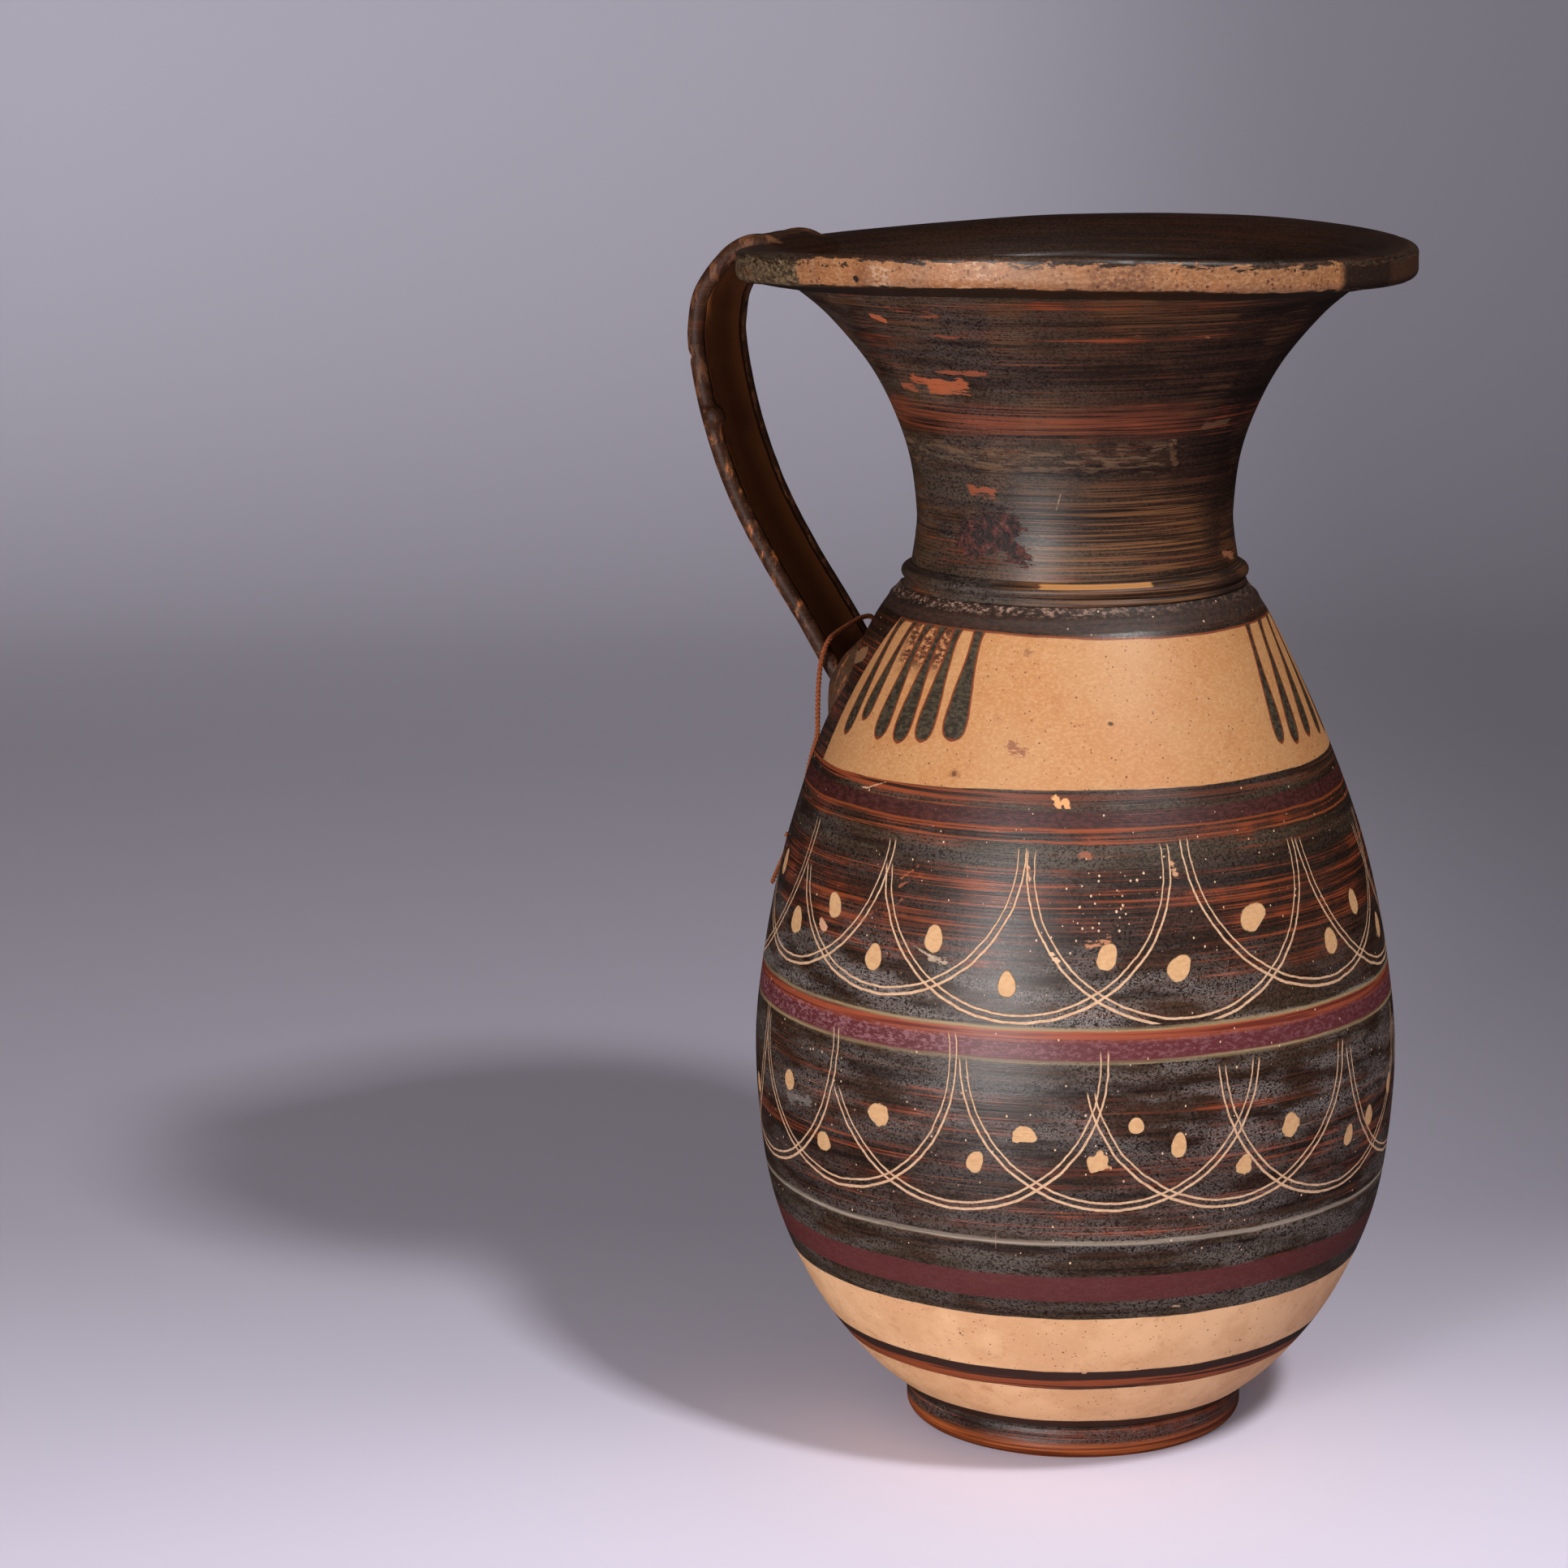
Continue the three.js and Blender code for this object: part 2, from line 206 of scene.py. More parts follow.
KNOT = Vector((-77.2, -6.6, 144.9))
knot_turn = [
    KNOT + 0.5 * Vector((math.sin(t) + 2 * math.sin(2 * t), -math.sin(3 * t), math.cos(t) - 2 * math.cos(2 * t)))
    for t in (2 * math.pi * k / 48 for k in range(49))
]
LONG_TAIL = Vector((0.03, -0.78, -0.62)).normalized()
SHORT_TAIL = Vector((-0.2, 0.35, -0.9)).normalized()
LONG_TAIL_LENGTH = 15.2
SHORT_TAIL_LENGTH = 6.8
TAIL_STEPS = 10
long_tail = through([
    KNOT, KNOT + 5 * LONG_TAIL + Vector((0.3, 0, 0.4)), KNOT + 10 * LONG_TAIL,
    KNOT + LONG_TAIL_LENGTH * LONG_TAIL,
], TAIL_STEPS)
short_tail = through([
    KNOT, KNOT + 3.5 * SHORT_TAIL + Vector((0.2, 0, 0)), KNOT + SHORT_TAIL_LENGTH * SHORT_TAIL,
], TAIL_STEPS)
knot = joined(
    "tag_string_knot_tied",
    [ply for line in (knot_turn, long_tail, short_tail) for ply in yarn_rings(line, 1.15)],
    node="tag_string_knot", slot="string",
)

# %% [markdown]
# ## The thrown pieces
#
# The foot, body, neck, collar and lip were turned on a wheel, so each is one outline swept
# round the axis. A modelled lathe could do it with a Screw modifier, but thrown clay isn't
# perfectly round: every point is nudged a little by slow noise, and the lip was bent in the
# kiln. So the rings are written in code, where each point can be moved.

# %% Outlines of the body and the neck
def shared_out(shares, inner, outer, base, height):
    return [(inner + (outer - inner) * out, base + height * up) for out, up in shares]


BODY_BASE, BODY_HEIGHT = 8.5, 207.5
FOOT_RADIUS, BELLY_RADIUS, TOP_RADIUS = 43.3, 81.5, 43.4
NECK_BASE, NECK_HEIGHT = 220.9, 70
NECK_FOOT_RADIUS, WAIST_RADIUS, FLARE_RADIUS = 41, 39.5, 69
BODY_LINE = through(
    shared_out(
        [(0, 0), (0.338, 0.055), (0.67, 0.142), (0.914, 0.258), (1, 0.417)],
        FOOT_RADIUS, BELLY_RADIUS, BODY_BASE, BODY_HEIGHT,
    )
    + shared_out(
        [(0.939, 0.547), (0.768, 0.692), (0.475, 0.836), (0.172, 0.952), (0, 1)],
        TOP_RADIUS, BELLY_RADIUS, BODY_BASE, BODY_HEIGHT,
    ),
    22,
)
NECK_LINE = through(
    shared_out([(1, 0), (0.66, 0.045), (0.2, 0.109)], WAIST_RADIUS, NECK_FOOT_RADIUS, NECK_BASE, NECK_HEIGHT)
    + shared_out(
        [(0, 0.2), (0.057, 0.387), (0.192, 0.559), (0.407, 0.73), (0.734, 0.901), (1, 1)],
        WAIST_RADIUS, FLARE_RADIUS, NECK_BASE, NECK_HEIGHT,
    ),
    12,
)


def outline_at(line, height):
    """Radius and slope of an outline at a height."""
    for (r, z), (r2, z2) in zip(line, line[1:]):
        if z <= height <= z2:
            return r + (r2 - r) * (height - z) / (z2 - z), (r2 - r) / (z2 - z)
    return line[-1][0], 0.0


def inner_side(line, low, high, steps, wall=5.5):
    """The inside of the same wall, from high down to low."""
    heights = [high + (low - high) * i / steps for i in range(steps + 1)]
    return [(r - wall * math.hypot(1, slope), z) for z in heights for r, slope in [outline_at(line, z)]]


print("belly radius, mm:", round(max(r for r, z in BODY_LINE), 1))

# %% Turn an outline on the wheel
RIM = 301.1
LIP_RADIUS = 83.8
SAG_TURN = 0.087


def sagged(p):
    """The bend that the kiln gave the lip, which dies out down the neck."""
    out = min(1.0, math.hypot(p.x, p.y) / LIP_RADIUS)
    up = min(1.0, max(0.0, (p.z - 234.9) / (RIM - 234.9)))
    rise = up * up * (3 - 2 * up)
    turn = math.atan2(p.y, p.x) - SAG_TURN
    return Vector((p.x, p.y, p.z - 1.8 * rise * out * out * math.cos(2 * turn)))


def uneven(p, size, depth):
    """Moves a point towards the axis by slow noise, never out past the outline."""
    push = depth * (0.5 + 0.5 * noise.noise(p / size)) / max(10.0, math.hypot(p.x, p.y))
    return Vector((p.x * (1 - push), p.y * (1 - push), p.z))


def turned(name, outline, sides, shape, closed=False, **words):
    rings = []
    for r, z in outline:
        turns = [2 * math.pi * k / sides for k in range(sides)] if r > 0.01 else [0.0]
        rings.append([shape(Vector((r * math.cos(a), r * math.sin(a), z))) for a in turns])
    return skin(name, rings, closed, **words)


def corner(r, z, radius, start, end, steps=6):
    turns = [math.radians(start + (end - start) * i / steps) for i in range(steps + 1)]
    return [(r + radius * math.cos(a), z + radius * math.sin(a)) for a in turns]


# %% Turn the foot and the body
foot = turned(
    "foot_disc",
    [(0, 0), (38, 0)] + corner(40.3, 3, 3, -90, 0, 8)
    + [(43.3, 4.6), (43.1, 5.4), (43.3, 6.4), (43.2, 7.6), (42.7, 8.5), (0, 8.5)],
    240, lambda p: uneven(p, 17, 0.25), node="foot", slot="foot",
)


def beside_handle(p):
    """Smeared clay that swells the shoulder a little to both sides of the handle's root."""
    turn = abs(math.degrees(math.atan2(p.y, -p.x)))
    swell = 1.6 * math.exp(-(((turn - 24) / 8) ** 2)) * math.exp(-(((p.z - 203) / 15) ** 2))
    swell += 1.2 * math.exp(-(((turn - 26) / 7) ** 2)) * math.exp(-(((p.z - 176) / 14) ** 2))
    return p * (1 + swell / p.length) if p.z > 145 else p


# A soft ridge just under the flat edge, where the potter trimmed the top
body_outside = [(r + 0.4 * math.exp(-(((z - 213.2) / 0.9) ** 2)), z) for r, z in BODY_LINE if z > 9.2]
body = turned(
    "body_shell",
    [(0, 8.8), (30, 8.8), (42.8, 8.6), (43.4, 8.9)] + body_outside
    + inner_side(BODY_LINE, 20.3, 216, 24) + [(36, 14.8), (0, 14.8)],
    360, lambda p: beside_handle(uneven(p, 26, 0.35)), node="body", slot="body",
)

# %% Turn the neck, its collar and the lip
neck = turned(
    "neck_trumpet",
    [(41, 216.2), (41, 219)] + [(r, z) for r, z in NECK_LINE] + [(69.2, 291.3)]
    + inner_side(NECK_LINE, 221, 291.3, 30) + [(35.5, 216.2)],
    300, lambda p: sagged(uneven(p, 23, 0.3)), closed=True, node="neck", slot="neck",
)
collar = turned(
    "collar_bead",
    [(40.8, 216.1), (43.1, 216.1), (42.9, 216.8), (42.5, 217.5), (42.35, 217.9)]
    + corner(41.85, 219.4, 1.55, -60, 75, 9)
    + [(41.75, 221.1), (41.3, 221.6), (40.6, 221.9), (40.4, 219)],
    300, lambda p: uneven(p, 14, 0.2), closed=True, node="collar_ring", slot="collar_ring",
)

CHIPS = [
    (-118, 294.2, 1.3, 0.5), (-101, 293.6, 1.0, 0.4), (-96, 300.8, 1.2, 0.4), (-84, 300.9, 1.0, 0.3),
    (-70, 293.8, 0.9, 0.3), (-58, 300.6, 1.6, 0.35), (-40, 293.6, 1.3, 0.4), (-33, 300.7, 1.1, 0.4),
    (-21, 293.9, 1.4, 0.5), (-8, 300.8, 1.3, 0.3),
    (35, 300.8, 1.5, 0.5), (70, 294, 1.4, 0.4), (112, 300.7, 1.3, 0.4), (150, 293.8, 1.2, 0.4),
]


def lip_shape(p):
    """A lip that isn't quite level or round, with small chips along its edges."""
    turn = math.atan2(p.y, p.x)
    for at, height, size, depth in CHIPS:
        at = math.radians(at)
        away = Vector((LIP_RADIUS * math.cos(at), LIP_RADIUS * math.sin(at), height))
        p = p - Vector((p.x, p.y, 0)).normalized() * depth * math.exp(-(((p - away).length / size) ** 2))
    wave = 0.22 * noise.noise(Vector((3 * math.cos(turn), 3 * math.sin(turn), 0.5))) - 0.15
    return sagged(uneven(p, 11, 0.35)) + Vector((0, 0, wave))


lip = turned(
    "lip_ring",
    [(61.2, 291), (68.9, 291)] + [(75, 292.1), (79.6, 293.1)] + corner(81.2, 295.9, 2.6, -80, 0, 7)
    + [(83.8, 297.2), (83.75, 298.4)] + corner(82.3, 299.6, 1.5, 0, 90, 6)
    + [(80.5, 301.1), (78.6, 301.0), (77.3, 300.9), (75.6, 300.4)]
    + [(73.2, 299.6), (70.4, 298.2), (67, 296.2), (63.6, 293.4)],
    540, lip_shape, closed=True, node="lip", slot="lip",
)

# %% [markdown]
# ## The handle
#
# The handle is a flat strap with a rolled coil along each edge, pressed on to the lip and
# the shoulder. Its middle line bows out past the lip and comes down to the shoulder. Each
# part is a section carried along that line. Noise makes the coils swell and thin, as
# clay rolled by hand does.

# %% Middle line of the handle
def shared_down(shares, inner, top, drop):
    return [(-(inner + (100.4 - inner) * out), 0, top - drop * down) for out, down in shares]


root_radius = outline_at(BODY_LINE, 187.2)[0]
handle_line = through(
    shared_down(
        [(-0.5, 0.07), (-0.2, -0.01), (0.055, 0), (0.345, 0.09), (0.675, 0.3),
         (0.905, 0.53), (0.982, 0.769), (1, 1)],
        LIP_RADIUS, RIM, 26,
    )
    + shared_down(
        [(0.912, 0.224), (0.739, 0.449), (0.498, 0.647), (0.263, 0.808), (0.124, 0.911), (0, 1), (-0.05, 1.035)],
        root_radius, 275.1, 87.9,
    ),
    10, 0.5,
)
handle_line = evenly(handle_line, 0.9)
print("handle line, mm:", round(sum((q - p).length for p, q in zip(handle_line, handle_line[1:]))))


# %% Carry a section along the handle
def handle_part(name, section, shape=sagged, **words):
    """section gives (sideways, towards the neck) points for a share of the way down."""
    rings, last = [], len(handle_line) - 1
    for i, point in enumerate(handle_line):
        ahead = (handle_line[min(i + 1, last)] - handle_line[max(i - 1, 0)]).normalized()
        inwards = Vector((-ahead.z, 0, ahead.x))
        rings.append([
            shape(point + Vector((0, side, 0)) + inwards * depth) for side, depth in section(i / last, point)
        ])
    ends = [sum(rings[k], Vector()) / len(rings[k]) for k in (0, -1)]
    return skin(name, [[ends[0]], *rings, [ends[1]]], **words)


def strap_section(share, point):
    """A strap with a trough along its inner face and a slight crown outside."""
    half, points = 9.6, []
    for k in range(25):
        s = -1 + k / 12
        points.append((half * s, 1.9 - 1.5 * (1 - s * s) + 0.16 * noise.noise(Vector((s * 2, share * 26, 3)))))
    for k in range(25):
        s = 1 - k / 12
        points.append((half * s, -1.85 + 0.35 * (s * s) + 0.12 * noise.noise(Vector((s * 2, share * 22, 9)))))
    return points


def coil_section(side):
    """A rolled coil. The near one has a lump of clay stuck to it, and a nick higher up."""
    def section(share, point):
        swell = 2.2 + 0.08 * noise.noise(Vector((share * 34, side, 0)))
        lump = 2.2 * math.exp(-(((point.z - 255) / 2.5) ** 4)) if side < 0 else 0.0
        nick = 0.6 * math.exp(-(((point.z - 271.5) / 0.8) ** 2)) if side < 0 and point.x < -95 else 0.0
        ring = []
        for a in (2 * math.pi * k / 24 for k in range(24)):
            out = swell + lump * max(0, math.cos(a - 2.0)) - nick * max(0, math.cos(a + 2.4))
            ring.append((side * 11.5 + out * math.cos(a), 0.2 + out * math.sin(a)))
        return ring
    return section


strap = handle_part("handle_strap_clay", strap_section, node="handle_strap", slot="handle_strap")
coil_near = handle_part("handle_coil_near_clay", coil_section(-1), node="handle_coil_near", slot="handle_coil")
coil_far = handle_part("handle_coil_far_clay", coil_section(1), node="handle_coil_far", slot="handle_coil")

# %% [markdown]
# ## The smeared joints
#
# Where the handle meets the pot, the potter pressed on a pad of soft clay and smeared it
# out. A plain egg would meet the pot at a hard edge, so each pad is a skin laid over the
# pot's own surface that thins to nothing at its rim.

# %% Smear a pad over a surface
def smeared(name, surface, reach, half_width, rise, **words):
    """A round skin: surface(along, across) gives a point of the pot and its normal."""
    rings = []
    for s in [k / 22 for k in range(1, 23)]:
        ring = []
        for a in (2 * math.pi * k / 80 for k in range(80)):
            ragged = 1 + 0.05 * noise.noise(Vector((2 * math.cos(a), 2 * math.sin(a), reach)))
            along, across = s * reach * math.cos(a) * ragged, s * half_width * math.sin(a) * ragged
            point, normal = surface(along, across)
            thick = rise * (1 - s * s) ** 1.15 * (1 + 0.16 * noise.noise(point / 4.5)) - 0.25 * s
            ring.append(point + normal * thick)
        rings.append(ring)
    top, normal = surface(0, 0)
    return skin(name, [[top + normal * rise], *rings], **words)


def on_shoulder(along, across):
    z = 189.6 + 0.83 * along
    radius, slope = outline_at(BODY_LINE, z)
    turn = math.pi + (across + 6.0) / radius
    normal = Vector((math.cos(turn), math.sin(turn), -slope)).normalized()
    return beside_handle(Vector((radius * math.cos(turn), radius * math.sin(turn), z))), normal


LIP_TOP = [(63.6, 293.4), (67, 296.2), (70.4, 298.2), (73.2, 299.6), (75.6, 300.4), (77.3, 300.9), (84, 301.1)]


def on_lip(along, across):
    """The lip's own top: level near its edge, and falling into the mouth."""
    point = Vector((-74.8 - along, across, 0))
    out = min(83.9, max(63.7, math.hypot(point.x, point.y)))
    for (r, z), (r2, z2) in zip(LIP_TOP, LIP_TOP[1:]):
        if r <= out <= r2:
            point.z = z + (z2 - z) * (out - r) / (r2 - r) - 0.15
    return sagged(point), Vector((0, 0, 1))


root_pad = smeared("handle_root_smear", on_shoulder, 15.5, 25.0, 4.5, node="handle_root_pad", slot="handle_pad")
lip_pad = smeared("handle_lip_smear", on_lip, 8.3, 17.5, 1.7, node="handle_lip_pad", slot="handle_pad")

# %% [markdown]
# ## Words for making finishes
#
# A finish is a web of shader nodes. `Recipe` adds nodes and wires them in one short line
# each, and `mixture` starts a node group with named inputs and outputs, so that an effect
# is built once and used in many finishes. Colours are written as a painter would read them
# off a screen, and `shade` turns them into the linear values that Blender mixes.

# %% A short hand for nodes
def shade(red, green, blue):
    """A colour read off a screen, 0 to 255, as the linear values that Blender mixes."""
    linear = [((v / 255 + 0.055) / 1.055) ** 2.4 if v > 10 else v / 255 / 12.92 for v in (red, green, blue)]
    return (*linear, 1.0)


class Recipe:
    """Adds nodes to a tree. Every method gives back the socket that carries the result."""

    def __init__(self, tree):
        self.nodes, self.links = tree.nodes, tree.links

    def feed(self, socket, value):
        if isinstance(value, bpy.types.NodeSocket):
            self.links.new(value, socket)
        elif value is not None:
            socket.default_value = value

    def put(self, kind, feeds, out=0, **settings):
        node = self.nodes.new(kind)
        for key, value in settings.items():
            setattr(node, key, value)
        for socket, value in feeds.items():
            self.feed(node.inputs[socket], value)
        return node.outputs[out]

    def math(self, operation, *values, clamp=False):
        return self.put("ShaderNodeMath", dict(enumerate(values)), operation=operation, use_clamp=clamp)

    def plus(self, first, second):
        return self.math("ADD", first, second)

    def minus(self, first, second):
        return self.math("SUBTRACT", first, second)

    def times(self, first, second, clamp=False):
        return self.math("MULTIPLY", first, second, clamp=clamp)

    def most(self, first, second):
        return self.math("MAXIMUM", first, second)

    def absolute(self, value):
        return self.math("ABSOLUTE", value)

    def vector(self, operation, *values, out=0):
        return self.put("ShaderNodeVectorMath", dict(enumerate(values)), out, operation=operation)

    def step(self, value, low, high):
        """0 below low, 1 above high, smooth between. Works downwards too."""
        return self.put(
            "ShaderNodeMapRange", {0: value, 1: low, 2: high, 3: 0.0, 4: 1.0}, interpolation_type="SMOOTHSTEP"
        )

    def spread(self, value, low, high, out_low, out_high):
        return self.put("ShaderNodeMapRange", {0: value, 1: low, 2: high, 3: out_low, 4: out_high})

    def noise(self, place, scale, detail=2.0, rough=0.5):
        return self.put("ShaderNodeTexNoise", {
            "Vector": place, "Scale": scale, "Detail": detail, "Roughness": rough,
        })

    def stretched(self, place, x, y, z):
        return self.vector("MULTIPLY", place, (x, y, z))

    def mix(self, share, below, above, blend="MIX"):
        return self.put("ShaderNodeMix", {0: share, 6: below, 7: above}, 2, data_type="RGBA", blend_type=blend)

    def mixed(self, share, below, above):
        return self.put("ShaderNodeMix", {0: share, 2: below, 3: above}, 0, data_type="FLOAT")

    def ramp(self, value, stops, interpolation="LINEAR"):
        """A table of colours or of three numbers, looked up by a share from 0 to 1."""
        node = self.nodes.new("ShaderNodeValToRGB")
        node.color_ramp.interpolation = interpolation
        elements = node.color_ramp.elements
        elements[0].position, elements[0].color = stops[0][0], (*stops[0][1][:3], 1)
        elements[1].position, elements[1].color = stops[-1][0], (*stops[-1][1][:3], 1)
        for position, values in stops[1:-1]:
            elements.new(position).color = (*values[:3], 1)
        self.feed(node.inputs[0], value)
        return node.outputs[0]

    def parts(self, value):
        node = self.nodes.new("ShaderNodeSeparateXYZ")
        self.feed(node.inputs[0], value)
        return node.outputs

    def place(self, tree, feeds):
        """Places a mixture and gives back its outputs by name."""
        node = self.nodes.new("ShaderNodeGroup")
        node.node_tree = tree
        for socket, value in feeds.items():
            self.feed(node.inputs[socket], value)
        return node.outputs


def mixture(name, inputs, outputs):
    """Starts a node group: its tree, a recipe, its inputs, and where its outputs go."""
    tree = bpy.data.node_groups.new(name, "ShaderNodeTree")
    for title, value in inputs.items():
        kind = "Float" if isinstance(value, float) else "Color" if len(value) == 4 else "Vector"
        socket = tree.interface.new_socket(name=title, in_out="INPUT", socket_type="NodeSocket" + kind)
        socket.default_value = value
    for title, kind in outputs.items():
        tree.interface.new_socket(name=title, in_out="OUTPUT", socket_type="NodeSocket" + kind)
    recipe = Recipe(tree)
    given = tree.nodes.new("NodeGroupInput").outputs
    made = tree.nodes.new("NodeGroupOutput").inputs
    return tree, recipe, given, made


print("red clay, linear:", [round(v, 3) for v in shade(190, 100, 50)[:3]])

# %% [markdown]
# ## Where a point lies on the pot
#
# The painter worked on a turning wheel, so paint is laid by height and by the turn round the
# axis. This mixture turns a point into those two, and into millimetres. The handle lies at
# half a turn, so the jump in the angle hides behind it.

# %% Mixture: place on the pot
POT_PLACE, r, given, made = mixture(
    "Place on the pot", {"Object": (0, 0, 0)},
    {"Place": "Vector", "Turn": "Float", "Height": "Float", "Out": "Float"}
)
place = r.vector("SCALE", given["Object"])
place.node.inputs["Scale"].default_value = 1000
x, y, z = r.parts(place)
r.feed(made["Place"], place)
r.feed(made["Turn"], r.math("DEGREES", r.math("ARCTAN2", y, x)))
r.feed(made["Height"], z)
r.feed(made["Out"], r.math("SQRT", r.plus(r.times(x, x), r.times(y, y))))

# %% [markdown]
# ## Slip, clay and their wear
#
# Three looks cover the jug. Black-brown slip was brushed on while the pot turned, so it lies
# in long level streaks, and shows orange-red where it is thin. Lime from the ground left a
# pale, broken film on it. The bare clay is a warm buff with fine brush lines, specks and
# small pits. Each look is a mixture that gives a colour, a roughness and a height for bumps.

# %% Mixture: black-brown slip
SLIP, r, given, made = mixture(
    "Black-brown slip",
    {"Place": (0, 0, 0), "Thin": 0.2, "Film": 0.2, "Olive": 0.3, "Streak": 1.0},
    {"Colour": "Color", "Roughness": "Float", "Height": "Float"},
)
fine = r.noise(r.stretched(given["Place"], 0.02, 0.02, 2.2), 1.0, 2.0, 0.62)
broad = r.noise(r.stretched(given["Place"], 0.014, 0.014, 0.36), 1.0, 3.0, 0.6)
blotch = r.noise(given["Place"], 0.07, 3.0, 0.6)
dust = r.noise(r.stretched(given["Place"], 1.3, 1.3, 1.9), 1.0, 3.0, 0.78)
brushed = r.plus(r.times(fine, 0.56), r.times(broad, 0.44))
tone = r.plus(r.times(brushed, 0.6), r.times(dust, 0.4))
dark = r.mix(r.step(tone, 0.42, 0.6), shade(25, 12, 6), shade(66, 37, 21))
olive = r.times(given["Olive"], r.step(broad, 0.4, 0.56))
dark = r.mix(olive, dark, r.mix(r.step(dust, 0.4, 0.64), shade(37, 28, 18), shade(80, 66, 48)))
# Thin slip shows red, and orange where it is thinnest, in crisp level lines
bare = r.times(given["Streak"], r.minus(brushed, 0.5))
bare = r.plus(bare, r.times(r.minus(blotch, 0.5), 0.3))
bare = r.plus(bare, r.minus(r.times(given["Thin"], 0.28), 0.15))
colour = r.mix(r.times(r.step(bare, -0.03, 0.04), 0.8), dark, shade(84, 34, 16))
colour = r.mix(r.times(r.step(bare, 0.03, 0.1), 0.85), colour, shade(138, 62, 26))
# Lime lies in fine hairs and grains, in level patches
patch = r.step(r.noise(r.stretched(given["Place"], 0.04, 0.04, 0.16), 1.0, 3.0, 0.65), 0.38, 0.62)
hairs = r.step(r.absolute(r.minus(dust, 0.53)), 0.05, 0.015)
film = r.times(given["Film"], r.times(patch, hairs), clamp=True)
colour = r.mix(film, colour, shade(158, 149, 144))
r.feed(made["Colour"], colour)
r.feed(made["Roughness"], r.plus(r.spread(dust, 0.35, 0.65, 0.34, 0.47), r.times(film, 0.25)))
r.feed(made["Height"], r.plus(r.times(fine, 0.6), r.times(dust, 0.4)))
print("slip mixture nodes:", len(SLIP.nodes))

# %% Mixture: bare buff clay
CLAY, r, given, made = mixture(
    "Bare buff clay",
    {"Place": (0, 0, 0), "Specks": 0.5, "Tint": shade(217, 161, 106)},
    {"Colour": "Color", "Roughness": "Float", "Height": "Float"},
)
cloud = r.noise(given["Place"], 0.055, 4.0, 0.62)
grit = r.noise(r.stretched(given["Place"], 0.9, 0.9, 1.5), 1.0, 3.0, 0.7)
deeper = r.mix(0.32, given["Tint"], shade(178, 108, 52))
colour = r.mix(r.step(cloud, 0.38, 0.62), deeper, given["Tint"])
colour = r.mix(r.times(r.step(grit, 0.42, 0.66), 0.16), colour, shade(240, 198, 152))
stain = r.step(r.noise(given["Place"], 0.2, 4.0, 0.7), 0.56, 0.72)
colour = r.mix(r.times(stain, 0.34), colour, shade(168, 100, 52))
cells = r.put("ShaderNodeTexVoronoi", {"Vector": given["Place"], "Scale": 1.1, "Randomness": 1.0})
luck = r.parts(cells.node.outputs[1])
size = r.times(r.math("POWER", luck[0], 3.6), r.times(given["Specks"], 0.56))
speck = r.step(r.minus(cells, size), 0.04, -0.04)
colour = r.mix(r.times(speck, r.spread(luck[1], 0.0, 1.0, 0.25, 0.95)), colour, shade(84, 42, 20))
r.feed(made["Colour"], colour)
r.feed(made["Roughness"], r.spread(grit, 0.3, 0.7, 0.44, 0.6))
r.feed(made["Height"], r.minus(r.times(grit, 0.45), r.times(speck, 0.8)))
print("clay mixture nodes:", len(CLAY.nodes))

# %% Mixture: a painted band
BAND, r, given, made = mixture(
    "Painted band", {"Height": 0.0, "Low": 0.0, "High": 1.0, "Edge": 0.25}, {"Mask": "Float"}
)
low = r.step(r.minus(given["Height"], given["Low"]), r.times(given["Edge"], -1), given["Edge"])
high = r.step(r.minus(given["High"], given["Height"]), r.times(given["Edge"], -1), given["Edge"])
r.feed(made["Mask"], r.times(low, high))

# %% Mixture: a scratch, a nick or a chip
SCRATCH, r, given, made = mixture(
    "Scratch",
    {"Place": (0, 0, 0), "From": (0, 0, 0), "To": (1, 0, 0), "Width": 0.4, "Ragged": 0.0},
    {"Mask": "Float"},
)
reach = r.vector("SUBTRACT", given["To"], given["From"])
away = r.vector("SUBTRACT", given["Place"], given["From"])
gone = r.vector("DOT_PRODUCT", away, reach, out=1)
whole = r.vector("DOT_PRODUCT", reach, reach, out=1)
share = r.math("DIVIDE", gone, whole, clamp=True)
nearest = r.vector("SCALE", reach)
r.feed(nearest.node.inputs["Scale"], share)
gap = r.vector("LENGTH", r.vector("SUBTRACT", away, nearest), out=1)
r.feed(made["Mask"], r.step(r.minus(given["Width"], r.plus(gap, given["Ragged"])), -0.12, 0.12))


def scratch(r, place, start, end, width, ragged):
    """The mask of one mark in a finish, from its two ends, half its width and its raggedness."""
    feeds = {"Place": place, "From": start, "To": end, "Width": width, "Ragged": ragged}
    return r.place(SCRATCH, feeds)["Mask"]


# %% [markdown]
# ## Drawn with a compass
#
# The two rows of arcs were scratched through the slip with a pair of compasses that held two
# points, so each arc is a pair of circles round one pricked centre. A point lies on a line
# when its distance from that centre is the radius. A row has thirteen or fourteen arcs, but
# any place is near three at most. So the turn picks a slot, and a table gives that slot's
# centre and radius. Short rows of numbers keep the unevenness of the hand.

# %% Mixture: a row of double arcs
def lookup(r, slot, count, rows):
    """Three numbers for a slot, from a table that is read in steps."""
    at = r.math("DIVIDE", r.plus(r.math("WRAP", slot, float(count), 0.0), 0.5), float(count))
    return r.parts(r.ramp(at, [(k / count, row) for k, row in enumerate(rows)], "CONSTANT"))


def turn_in_row(r, slot, width, shift):
    """Degrees past the row's start, from a slot and its shift, which a table keeps as 0 to 1."""
    return r.plus(r.times(r.plus(slot, 0.5), width), r.times(r.minus(shift, 0.5), 60.0))


